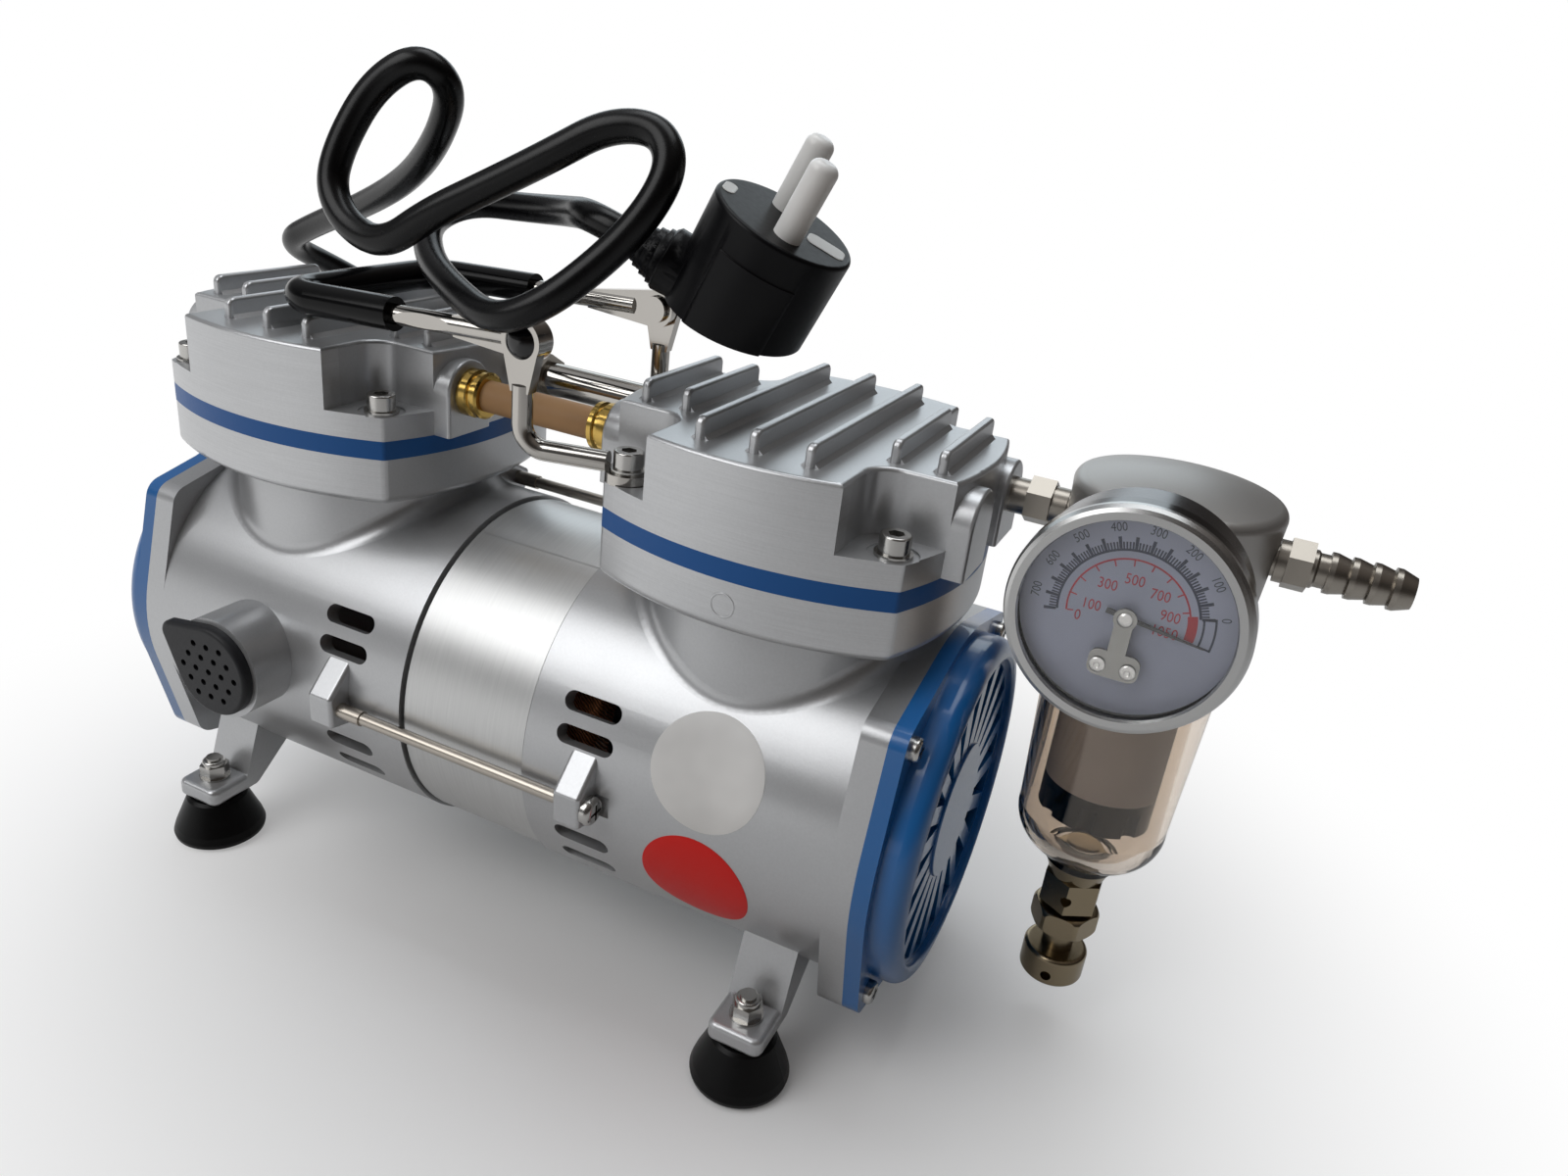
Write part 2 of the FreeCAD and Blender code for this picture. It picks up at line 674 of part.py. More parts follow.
def con_rod():
    """Right-hand connecting rod: eye round the eccentric, shank and piston pad."""
    x0, x1 = HEAD_X - ROD_WIDTH / 2, HEAD_X + ROD_WIDTH / 2
    eye = cylinder(ROD_EYE_R, crank_centre(x0), crank_centre(x1))
    pad_z = PISTON_TOP_Z - PISTON_H
    low_z, high_z = SHAFT_Z + CRANK_THROW + ROD_SHANK_UP, pad_z - 2
    low, high = ROD_SHANK_HALF
    shank = polygon_prism([point(x0 + 1, -low, low_z), point(x0 + 1, low, low_z), point(x0 + 1, high, high_z),
                           point(x0 + 1, -high, high_z)], X * (ROD_WIDTH - 2))
    pad = cylinder(ROD_PAD_R, point(HEAD_X, 0, pad_z - ROD_PAD_H), point(HEAD_X, 0, pad_z))
    bore = cylinder(CRANK_R + RUNNING_CLEARANCE, crank_centre(x0 - 1), crank_centre(x1 + 1))
    return fuse(eye, shank, pad).cut(bore)


def piston():
    """Right-hand piston disc with its seal groove and dished crown."""
    base = point(HEAD_X, 0, PISTON_TOP_Z - PISTON_H)
    disc = cylinder(PISTON_R, base, base + Z * PISTON_H)
    groove = ring(PISTON_R + 1, PISTON_R - 1.5, base + Z * 3, base + Z * 5)
    dish = cylinder(PISTON_R - 8, base + Z * (PISTON_H - 2), base + Z * (PISTON_H + 1))
    return disc.cut([groove, dish])


def cylinder_liner():
    return ring(LINER_R, BORE_R, point(HEAD_X, 0, LINER_Z), point(HEAD_X, 0, PLATE_Z))


def valve_ports():
    return [(x, y) for x in (-9, 9) for y in (-13, 13)]


def valve_plate():
    """Right-hand valve plate between the head base and the head cover."""
    plate = head_prism(PLATE_Z, COVER_Z, HEAD_CORNER_R)
    holes = [(HEAD_SCREW_R + SCREW_CLEARANCE, x, y) for x, y in screw_places()]
    holes += [(VALVE_PORT_R, x, y) for x, y in valve_ports()]
    cuts = [upright(r, x, y, PLATE_Z - 1, COVER_Z + 1) for r, x, y in holes]
    plate = plate.cut(cuts)
    plate.translate(X * HEAD_X)
    return plate


def reed_valves():
    """Spring petals: suction reeds under the plate's rear ports, delivery reeds over the front ones."""
    petals = []
    for head in (-HEAD_X, HEAD_X):
        for x, y in valve_ports():
            z0 = PLATE_Z - REED_T if y > 0 else COVER_Z
            petal = box(head + x - REED_WIDTH / 2, head + x + REED_WIDTH / 2, y - REED_BACK, y + REED_FRONT,
                        z0, z0 + REED_T)
            petals.append(petal.makeFillet(REED_WIDTH / 2 - 0.2, edges_where(petal, is_corner)))
    return Part.makeCompound(petals)


def is_corner(edge):
    return abs(edge.BoundBox.ZLength - REED_T) < 0.01 and edge.BoundBox.XLength < 0.01


def pocket(side_x, side_y):
    """Cutter for the screw pocket at one corner of a head cover."""
    cut = box(POCKET_X, SIDE_REACH_X + 10, POCKET_Y, SIDE_REACH_Y + 10, LEDGE_Z, TOP_Z + 10)
    inner = edges_where(cut, lambda e: is_vertical(e) and e.CenterOfMass.x < POCKET_X + 0.1
                        and e.CenterOfMass.y < POCKET_Y + 0.1)
    cut = cut.makeFillet(POCKET_CORNER_R, inner)
    if side_x < 0:
        cut = mirrored_x(cut)
    if side_y < 0:
        cut = mirrored_y(cut)
    return cut


def port_boss(side_x, side_y):
    """Arched boss that carries a port on the side of a head cover."""
    y = side_y * PORT_Y
    start, end = side_x * (SIDE_REACH_X - 14), side_x * PORT_BOSS_X
    arch = cylinder(PORT_BOSS_R, point(start, y, PORT_Z), point(end, y, PORT_Z))
    foot = box(min(start, end), max(start, end), y - PORT_BOSS_R, y + PORT_BOSS_R, COVER_Z, PORT_Z)
    boss = fuse(arch, foot)
    rim = edges_where(boss, lambda e: abs(e.CenterOfMass.x - end) < 0.01 and e.CenterOfMass.z > COVER_Z + 1)
    return boss.makeFillet(PORT_BOSS_ROUND, rim)


def fin(x, reach):
    """Cooling fin with rounded ends and a flared foot, running along Y on top of a head cover."""
    half = FIN_THICKNESS / 2
    blade = box(x - half, x + half, -reach, reach, TOP_Z - 1, FIN_TOP_Z)
    ends = edges_where(blade, lambda e: abs(e.CenterOfMass.y) > reach - 0.01
                       and e.CenterOfMass.z > FIN_TOP_Z - 0.01)
    blade = blade.makeFillet(FIN_END_ROUND, ends)
    sides = edges_where(blade, lambda e: e.BoundBox.XLength < 0.01 and e.CenterOfMass.z > TOP_Z)
    blade = blade.makeFillet(FIN_TOP_ROUND, sides)
    wide, y0 = half + FIN_FOOT, 1 - reach
    outline = [(-wide, TOP_Z - 1), (wide, TOP_Z - 1), (wide, TOP_Z), (half, TOP_Z + FIN_FOOT),
               (-half, TOP_Z + FIN_FOOT), (-wide, TOP_Z)]
    foot = polygon_prism([point(x + across, y0, z) for across, z in outline], Y * (2 * reach - 2))
    return fuse(blade, foot)


def chamber(side_y):
    """Cutter for the suction (rear) or delivery (front) chamber inside a head cover."""
    top = TOP_Z - CHAMBER_WALL
    side_x, front_y = SIDE_REACH_X - CHAMBER_INSET, SIDE_REACH_Y - CHAMBER_INSET
    narrow_x = POCKET_X - CHAMBER_WALL
    wide = box(-side_x, side_x, CHAMBER_WALL / 2, POCKET_Y - CHAMBER_WALL, COVER_Z - 1, top)
    deep = box(-narrow_x, narrow_x, CHAMBER_WALL / 2, front_y, COVER_Z - 1, top)
    space = fuse(wide, deep)
    return space if side_y > 0 else mirrored_y(space)


def head_cover(open_ports):
    """Finned head cover centred on the Z axis; open_ports lists the sides of its drilled ports."""
    body = head_prism(COVER_Z, TOP_Z, HEAD_CORNER_R)
    body = body.cut([pocket(sx, sy) for sx in (1, -1) for sy in (1, -1)])
    rim = edges_where(body, lambda e: e.BoundBox.ZMin > TOP_Z - 0.01)
    body = body.makeFillet(1.2, rim)
    bosses = [port_boss(sx, sy) for sx in (1, -1) for sy in (1, -1)]
    fins = [fin(k * FIN_PITCH, LONG_FIN_Y) for k in (-1, 0, 1)]
    fins += [fin(side * x, SHORT_FIN_Y) for side in (1, -1) for x in SHORT_FIN_X]
    body = fuse(body, *bosses, *fins)
    cuts = [chamber(1), chamber(-1)]
    for x, y in screw_places():
        cuts.append(upright(HEAD_SCREW_R + SCREW_CLEARANCE, x, y, COVER_Z - 1, LEDGE_Z + 1))
        cuts.append(upright(SEAT_R, x, y, LEDGE_Z - SEAT_DEPTH, LEDGE_Z + 1))
    for side_x, side_y in open_ports:
        y = side_y * PORT_Y
        cuts.append(cylinder(PORT_BORE_R, point(side_x * (SIDE_REACH_X - 16), y, PORT_Z),
                             point(side_x * (PORT_BOSS_X + 1), y, PORT_Z)))
    return body.cut(cuts)


def head_screws():
    """Socket screws with washers at the head corners, two of them over the handle brackets."""
    screws = []
    for head in (-HEAD_X, HEAD_X):
        for x, y in screw_places():
            seat = LEDGE_Z - SEAT_DEPTH + (BRACKET_EYELET_H if head > 0 and x < 0 else 0)
            foot = point(head + x, y, PLATE_Z - SCREW_GRIP)
            washer = cylinder(WASHER_R, point(head + x, y, seat), point(head + x, y, seat + WASHER_H))
            top = seat + WASHER_H + SCREW_HEAD_H
            cap = cylinder(SCREW_HEAD_R, point(head + x, y, seat + WASHER_H), point(head + x, y, top))
            cap = cap.makeFillet(0.6, edges_where(cap, lambda e: e.CenterOfMass.z > top - 0.01))
            socket = hexagon(4.0, point(head + x, y, top - 2.8), point(head + x, y, top + 1))
            shank = cylinder(HEAD_SCREW_R - 0.05, foot, point(head + x, y, seat + 1))
            screws.append(fuse(washer, cap, shank).cut(socket))
    return Part.makeCompound(screws)


def crossover_connectors():
    """Two brass connectors screwed into the front ports that face each other."""
    face = HEAD_X - PORT_BOSS_X
    connectors = []
    for side in (-1, 1):
        start, end = face, face - CONNECTOR_REACH
        profile = [(face + 7, SLEEVE_BORE_R), (face + 7, PORT_BORE_R - 0.05), (start, PORT_BORE_R - 0.05),
                   (start, CONNECTOR_R - 0.6), (start - 0.6, CONNECTOR_R), (start - 3.6, CONNECTOR_R),
                   (start - 4.2, CONNECTOR_NECK_R), (start - 5.0, CONNECTOR_NECK_R),
                   (start - 5.6, CONNECTOR_R - 0.2), (end + 0.6, CONNECTOR_R - 0.2), (end, CONNECTOR_NECK_R),
                   (end, SLEEVE_BORE_R)]
        shape = turned([point(x, -PORT_Y, PORT_Z + r) for x, r in profile], point(0, -PORT_Y, PORT_Z), X)
        connectors.append(shape if side > 0 else mirrored_x(shape))
    return Part.makeCompound(connectors)


def crossover_sleeve():
    """Straight fibre-covered tube between the two brass connectors."""
    half = HEAD_X - PORT_BOSS_X - CONNECTOR_REACH
    return ring(SLEEVE_R, SLEEVE_BORE_R, point(-half, -PORT_Y, PORT_Z), point(half, -PORT_Y, PORT_Z))


def rear_line_nuts():
    """Two union nuts on the rear ports that face each other."""
    face = HEAD_X - PORT_BOSS_X
    nuts = []
    for side in (-1, 1):
        start = point(side * face, PORT_Y, PORT_Z)
        end = start - X * side * LINE_NUT_LENGTH
        hexagon_nut = hexagon(2 * LINE_NUT_R * 0.9, start, end)
        spigot = cylinder(PORT_BORE_R - 0.05, start + X * side * 7, start)
        bore = cylinder(LINE_BORE_R, start + X * side * 8, end - X * side)
        nuts.append(fuse(hexagon_nut, spigot).cut(bore))
    return Part.makeCompound(nuts)


def rear_line():
    """Polished tube between the rear ports, butted against its nuts."""
    half = HEAD_X - PORT_BOSS_X - LINE_NUT_LENGTH
    return ring(LINE_R, LINE_BORE_R, point(-half, PORT_Y, PORT_Z), point(half, PORT_Y, PORT_Z))


def grille_opening(k, x0, x1):
    """Cutter for one of the tapering openings between two spokes of equal width."""
    turn = math.pi / GRILLE_OPENINGS
    half_in = GRILLE_INNER_R * math.tan(turn) - GRILLE_SPOKE / 2 / math.cos(turn)
    half_out = COVER_DOME_R * math.tan(turn) - GRILLE_SPOKE / 2 / math.cos(turn)
    low, high = SHAFT_Z + GRILLE_INNER_R, SHAFT_Z + COVER_DOME_R
    wedge = [(-half_in, low), (half_in, low), (half_out, high), (-half_out, high)]
    cut = polygon_prism([point(x0, y, z) for y, z in wedge], X * (x1 - x0))
    cut = cut.common(cylinder(GRILLE_OUTER_R, on_shaft(x0), on_shaft(x1)))
    cut.rotate(on_shaft(0), X, 360.0 * k / GRILLE_OPENINGS)
    return cut


def end_cover():
    """Right-hand grille cover: ear plate, domed rim and a sunk face with spokes round a hub."""
    face_x = HOUSING_END_X + COVER_PLATE + COVER_REACH
    floor_x = face_x - COVER_RECESS
    inside_x = floor_x - COVER_WALL
    plate = flange_prism(HOUSING_END_X, HOUSING_END_X + COVER_PLATE)
    dome = cylinder(COVER_DOME_R, on_shaft(HOUSING_END_X), on_shaft(face_x))
    rim = edges_where(dome, lambda e: e.CenterOfMass.x > face_x - 0.01)
    dome = dome.makeFillet(COVER_DOME_R - COVER_FACE_R, rim)
    dome = dome.cut(cylinder(COVER_RECESS_R, on_shaft(floor_x), on_shaft(face_x + 1)))
    lip = edges_where(dome, lambda e: e.BoundBox.XMin > face_x - 0.01
                      and e.BoundBox.YLength < 2 * COVER_RECESS_R + 1)
    dome = dome.makeFillet(COVER_RECESS_ROUND, lip)
    hub = cylinder(GRILLE_HUB_R, on_shaft(inside_x), on_shaft(floor_x + GRILLE_HUB_H))
    hub = hub.makeFillet(GRILLE_HUB_H / 2, edges_where(hub, lambda e: e.CenterOfMass.x > floor_x))
    hollow = cylinder(COVER_DOME_R - COVER_WALL, on_shaft(HOUSING_END_X - 1), on_shaft(inside_x))
    hollow = hollow.makeFillet(COVER_DOME_R - COVER_FACE_R - 1,
                               edges_where(hollow, lambda e: e.CenterOfMass.x > inside_x - 0.01))
    cuts = [hollow] + [grille_opening(k, inside_x - 1, face_x + 1) for k in range(GRILLE_OPENINGS)]
    for place in ear_points(HOUSING_END_X - 1):
        cuts.append(cylinder(COVER_SCREW_R + 0.1, place, place + X * (COVER_PLATE + 2)))
    return fuse(plate, dome, hub).cut(cuts)


def end_cover_screws():
    """Four pan-head screws in each end cover's ears."""
    seat = HOUSING_END_X + COVER_PLATE
    screws = []
    for place in ear_points(seat):
        head = cylinder(COVER_SCREW_HEAD_R, place, place + X * COVER_SCREW_HEAD_H)
        top = place + X * COVER_SCREW_HEAD_H
        head = head.makeFillet(1.2, edges_where(head, lambda e: e.CenterOfMass.x > top.x - 0.01))
        shank = cylinder(COVER_SCREW_R - 0.05, place - X * 10, place)
        screws.append(fuse(head, shank).cut(cross_recess(top, X, COVER_SCREW_HEAD_R - 1.4, RECESS_DEPTH)))
    return Part.makeCompound(screws + [mirrored_x(screw) for screw in screws])


def fan():
    """Right-hand cooling fan: hub on the shaft with pitched blades."""
    x1 = FAN_X + FAN_WIDTH
    hub = cylinder(FAN_HUB_R, on_shaft(FAN_X), on_shaft(x1))
    blades = []
    for k in range(FAN_BLADES):
        blade = box(-FAN_WIDTH / 2, FAN_WIDTH / 2, -0.9, 0.9, FAN_HUB_R - 2, FAN_R)
        blade.rotate(ORIGIN, Z, FAN_PITCH)
        blade.translate(on_shaft(FAN_X + FAN_WIDTH / 2))
        blade.rotate(on_shaft(0), X, 360.0 * k / FAN_BLADES)
        blades.append(blade)
    slab = ring(FAN_R + 5, SHAFT_R, on_shaft(FAN_X), on_shaft(x1))
    return fuse(hub, *blades).common(slab)


def tie_rods():
    """Three round rods that clamp the two housings on the stator, with a sleeve by the left lugs."""
    rods = []
    for angle in TIE_ANGLES:
        start = on_shaft(-LUG_INNER_X) + around_shaft(TIE_RADIUS, angle)
        rod = cylinder(TIE_R, start - X * (LUG_BLIND - 1), start + X * (LUG_INNER_X + LUG_OUTER_X))
        rods.append(fuse(rod, cylinder(TIE_SLEEVE_R, start, start + X * TIE_SLEEVE)))
    return Part.makeCompound(rods)


def tie_rod_screws():
    """Rounded heads with a cross recess at the right-hand ends of the tie rods."""
    heads = []
    far = LUG_OUTER_X + TIE_SCREW_H
    for angle in TIE_ANGLES:
        seat = on_shaft(LUG_OUTER_X) + around_shaft(TIE_RADIUS, angle)
        head = cylinder(TIE_SCREW_R, seat, seat + X * TIE_SCREW_H)
        head = head.makeFillet(2.0, edges_where(head, lambda e: abs(e.CenterOfMass.x - far) < 0.01))
        heads.append(head.cut(cross_recess(seat + X * TIE_SCREW_H, X, TIE_SCREW_R - 1.8, RECESS_DEPTH)))
    return Part.makeCompound(heads)


def rubber_feet():
    """Four flared rubber feet under the foot lugs."""
    profile = [(0, 0.8), (FOOT_BASE_R - 5, 0.8), (FOOT_BASE_R - 4, 0), (FOOT_BASE_R - 1.5, 0),
               (FOOT_BASE_R - 0.3, 1.0), (FOOT_BASE_R, 2.4), (FOOT_BASE_R - 0.8, 5.0),
               (FOOT_TOP_R, FOOT_LUG_Z - 1.0), (FOOT_TOP_R - 1, FOOT_LUG_Z),
               (FOOT_BOLT_R + 0.05, FOOT_LUG_Z), (FOOT_BOLT_R + 0.05, FOOT_BOLT_Z), (0, FOOT_BOLT_Z)]
    foot = turned([point(r, 0, z) for r, z in profile], ORIGIN, Z)
    places = [point(x, y, 0) for x in (-FOOT_X, FOOT_X) for y in (-FOOT_Y, FOOT_Y)]
    return Part.makeCompound([foot.translated(place) for place in places])


def foot_bolts():
    """Studs of the four feet, each with a washer and a locking nut on top of its lug."""
    seat = FOOT_LUG_Z + FOOT_LUG_THICKNESS
    nut_z = seat + FOOT_WASHER_H
    collar_z = nut_z + FOOT_NUT_H
    top_z = collar_z + FOOT_NUT_COLLAR
    bolts = []
    for x in (-FOOT_X, FOOT_X):
        for y in (-FOOT_Y, FOOT_Y):
            stud = cylinder(FOOT_BOLT_R, point(x, y, FOOT_BOLT_Z), point(x, y, top_z + 1))
            washer = cylinder(FOOT_WASHER_R, point(x, y, seat), point(x, y, nut_z))
            nut = hexagon(FOOT_NUT_AF, point(x, y, nut_z), point(x, y, collar_z))
            collar = cylinder(FOOT_NUT_COLLAR_R, point(x, y, collar_z), point(x, y, top_z))
            collar = collar.makeFillet(0.9, edges_where(collar, lambda e: e.CenterOfMass.z > top_z - 0.01))
            bolts.append(fuse(stud, washer, nut, collar))
    return Part.makeCompound(bolts)


def breather_cap():
    """Pierced teardrop cap that closes the breather boss."""
    y0, y1 = BREATHER_BOSS_Y, BREATHER_CAP_Y
    big = crosswise(BREATHER_CAP_R, BREATHER_X, BREATHER_Z, y0, y1)
    tip = crosswise(BREATHER_TIP_R, BREATHER_TIP_X, BREATHER_TIP_Z, y0, y1)
    dx, dz = BREATHER_TIP_X - BREATHER_X, BREATHER_TIP_Z - BREATHER_Z
    span = math.hypot(dx, dz)
    toward = math.degrees(math.atan2(dz, dx))
    tangent = math.degrees(math.acos((BREATHER_CAP_R - BREATHER_TIP_R) / span))
    corners = []
    for turn, (cx, cz, r) in ((tangent, (BREATHER_X, BREATHER_Z, BREATHER_CAP_R)),
                              (tangent, (BREATHER_TIP_X, BREATHER_TIP_Z, BREATHER_TIP_R)),
                              (-tangent, (BREATHER_TIP_X, BREATHER_TIP_Z, BREATHER_TIP_R)),
                              (-tangent, (BREATHER_X, BREATHER_Z, BREATHER_CAP_R))):
        a = math.radians(toward + turn)
        corners.append(point(cx + r * math.cos(a), y0, cz + r * math.sin(a)))
    cap = fuse(big, tip, polygon_prism(corners, Y * (y1 - y0)))
    cap = cap.makeFillet(1.4, edges_where(cap, lambda e: e.BoundBox.YMax < y1 + 0.01))
    spigot_r = BREATHER_BOSS_R - BREATHER_BOSS_WALL - RUNNING_CLEARANCE
    cap = fuse(cap, crosswise(spigot_r, BREATHER_X, BREATHER_Z, y0, y0 + BREATHER_SPIGOT))
    holes = []
    for row in range(-2, 3):
        for column in range(-2, 3):
            x = BREATHER_X + (column + 0.5 * (row % 2)) * BREATHER_HOLE_PITCH
            z = BREATHER_Z + row * BREATHER_HOLE_PITCH * 0.8
            if math.hypot(x - BREATHER_X, z - BREATHER_Z) < BREATHER_HOLE_REACH:
                holes.append(crosswise(BREATHER_HOLE_R, x, z, y1 - 1, y0 + BREATHER_SPIGOT + 1))
    return cap.cut(holes)


def bracket_post():
    """X and Y from a bracket's screw to its upright, along the yawed rod."""
    reach = HEAD_X - SCREW_X - PIVOT_X
    return point(-reach, -reach * math.tan(math.radians(BRACKET_YAW)), 0)


def bracket_screw(side_y):
    return point(HEAD_X - SCREW_X, side_y * SCREW_Y, 0)


def handle_bracket(side_y):
    """Bent rod bracket: eyelet under a head screw, upright and flattened pivot eye."""
    screw = bracket_screw(side_y)
    post = screw + bracket_post()
    way = bracket_post().normalize()
    seat = screw + Z * (LEDGE_Z - SEAT_DEPTH)
    eyelet = ring(BRACKET_EYELET_R, HEAD_SCREW_R + 0.1, seat, seat + Z * BRACKET_EYELET_H)
    level = Z * BRACKET_ROD_Z
    start = screw + way * (BRACKET_EYELET_R - 0.6) + level
    path = round_path([start, post + level, post + Z * (PIVOT_Z - 8)], [BRACKET_BEND_R])
    rod = tube_along(path, BRACKET_ROD_R)
    y0, y1 = post.y - BRACKET_EYE_THICKNESS / 2, post.y + BRACKET_EYE_THICKNESS / 2
    eye = crosswise(BRACKET_EYE_R, post.x, PIVOT_Z, y0, y1)
    neck_z = PIVOT_Z - BRACKET_NECK
    outline = [(-BRACKET_EYE_R, PIVOT_Z), (BRACKET_EYE_R, PIVOT_Z), (BRACKET_ROD_R, neck_z),
               (-BRACKET_ROD_R, neck_z)]
    neck = polygon_prism([point(post.x + across, y0, z) for across, z in outline], Y * BRACKET_EYE_THICKNESS)
    flats = [box(post.x - 9, post.x + 9, y, y + 9, PIVOT_Z - 12, PIVOT_Z) for y in (y1, y0 - 9)]
    hole = crosswise(PIVOT_PIN_R, post.x, PIVOT_Z, y0 - 5, y1 + 5)
    rod = rod.cut(flats)
    return fuse(eyelet, rod, eye, neck).cut(hole)


def pivot_y(side_y):
    """Middle of a bracket's eye."""
    return (bracket_screw(side_y) + bracket_post()).y


def arm_y(side_y):
    """Middle of the handle arm that lies inside a bracket's eye."""
    return pivot_y(side_y) - side_y * (BRACKET_EYE_THICKNESS / 2 + HANDLE_EYE_GAP + HANDLE_EYE_THICKNESS / 2)


def handle_droop():
    """Angle in degrees by which the folded handle slopes down to the fins."""
    return math.degrees(math.asin((PIVOT_Z - HANDLE_REST_Z) / (PIVOT_X - HANDLE_BAR_X)))


def handle_path(start_x):
    """Path of the handle in its level position, from one arm round to the other."""
    corners = [point(start_x, arm_y(-1), PIVOT_Z), point(HANDLE_BAR_X, arm_y(-1), PIVOT_Z),
               point(HANDLE_BAR_X, arm_y(1), PIVOT_Z), point(start_x, arm_y(1), PIVOT_Z)]
    return round_path(corners, [HANDLE_BEND_R, HANDLE_BEND_R])


def folded(shape):
    shape.rotate(point(PIVOT_X, 0, PIVOT_Z), Y, -handle_droop())
    return shape


def handle_bail():
    """Bright U-shaped handle rod with flattened eyes on its ends."""
    rod = tube_along(handle_path(PIVOT_X - HANDLE_EYE_R - 2), HANDLE_ROD_R)
    parts = [rod]
    for side in (-1, 1):
        y0 = arm_y(side) - HANDLE_EYE_THICKNESS / 2
        eye = crosswise(HANDLE_EYE_R, PIVOT_X, PIVOT_Z, y0, y0 + HANDLE_EYE_THICKNESS)
        outline = [(PIVOT_X, -HANDLE_EYE_R), (PIVOT_X, HANDLE_EYE_R), (HANDLE_FLAT_X, HANDLE_ROD_R),
                   (HANDLE_FLAT_X, -HANDLE_ROD_R)]
        blade = polygon_prism([point(x, y0, PIVOT_Z + up) for x, up in outline], Y * HANDLE_EYE_THICKNESS)
        parts += [eye, blade]
    cuts = []
    for side in (-1, 1):
        y = arm_y(side)
        cuts.append(crosswise(PIVOT_PIN_R + RUNNING_CLEARANCE, PIVOT_X, PIVOT_Z, y - 5, y + 5))
        far_y = y + side * (HANDLE_ROD_R - HANDLE_SCOOP_DEPTH + HANDLE_SCOOP_R)
        cuts.append(upright(HANDLE_SCOOP_R, HANDLE_SCOOP_X, far_y, PIVOT_Z - 2 * HANDLE_ROD_R,
                            PIVOT_Z + 2 * HANDLE_ROD_R))
    return folded(fuse(*parts).cut(cuts))


def handle_grip():
    """Soft sleeve over the cross bar and both bends."""
    sleeve = tube_along(handle_path(HANDLE_GRIP_X), HANDLE_GRIP_R)
    return folded(sleeve.cut(tube_along(handle_path(HANDLE_GRIP_X + 5), HANDLE_ROD_R)))


def handle_pivots():
    """Rivets through the bracket eyes and the handle's eyes."""
    pins = []
    for side in (-1, 1):
        outer = pivot_y(side) + side * BRACKET_EYE_THICKNESS / 2
        inner = arm_y(side) - side * (HANDLE_EYE_THICKNESS / 2 + HANDLE_EYE_GAP)
        pin = crosswise(PIVOT_PIN_R, PIVOT_X, PIVOT_Z, outer, inner)
        head = crosswise(PIVOT_HEAD_R, PIVOT_X, PIVOT_Z, inner, inner - side * PIVOT_HEAD_H)
        pins.append(fuse(pin, head))
    return Part.makeCompound(pins)


def pivot_caps():
    """Domed black caps over the outer ends of the rivets."""
    ball_r = (PIVOT_CAP_R ** 2 + PIVOT_CAP_H ** 2) / (2 * PIVOT_CAP_H)
    caps = []
    for side in (-1, 1):
        outer = pivot_y(side) + side * BRACKET_EYE_THICKNESS / 2
        top = outer + side * PIVOT_CAP_H
        cap = crosswise(PIVOT_CAP_R, PIVOT_X, PIVOT_Z, outer, top)
        caps.append(cap.common(Part.makeSphere(ball_r, point(PIVOT_X, top - side * ball_r, PIVOT_Z))))
    return Part.makeCompound(caps)


def on_filter(z):
    return point(FILTER_X, FILTER_Y, z)


def filter_head():
    """Die-cast filter head with a shallow dome and three ports."""
    top = FILTER_HEAD_TOP_Z + FILTER_DOME
    ball_r = (FILTER_HEAD_R ** 2 + FILTER_DOME ** 2) / (2 * FILTER_DOME)
    sides = Part.makeCone(FILTER_HEAD_LOW_R, FILTER_HEAD_R, top - FILTER_HEAD_Z, on_filter(FILTER_HEAD_Z), Z)
    head = sides.common(Part.makeSphere(ball_r, on_filter(top - ball_r)))
    head = head.makeFillet(FILTER_RIM, edges_where(head, lambda e: e.BoundBox.ZMin > FILTER_HEAD_Z + 20
                                                   and e.BoundBox.ZLength < 0.1))
    recess_r = BOWL_COLLAR_R + COLLAR_CLEARANCE
    recess = cylinder(recess_r, on_filter(FILTER_HEAD_Z - 1), on_filter(collar_roof_z()))
    out = FILTER_HEAD_R + 1
    side_bore = cylinder(PORT_BORE_R, on_filter(PORT_Z) - X * out, on_filter(PORT_Z) + X * out)
    gauge_bore = crosswise(PORT_BORE_R, GAUGE_X, GAUGE_Z, FILTER_Y, FILTER_Y - out)
    drop = cylinder(BARB_BORE_R, on_filter(FILTER_HEAD_Z), on_filter(PORT_Z))
    return head.cut([recess, side_bore, gauge_bore, drop])


def collar_roof_z():
    """Height of the recess in the head that takes the bowl's collar."""
    return FILTER_HEAD_Z + BOWL_COLLAR + COLLAR_ROOM


def filter_radius(z):
    """Radius of the head's tapered wall at a height."""
    share = (z - FILTER_HEAD_Z) / (FILTER_HEAD_TOP_Z + FILTER_DOME - FILTER_HEAD_Z)
    return FILTER_HEAD_LOW_R + share * (FILTER_HEAD_R - FILTER_HEAD_LOW_R)


def filter_side_x(side):
    """Where the head's tapered wall stands at port height."""
    return FILTER_X + side * filter_radius(PORT_Z)


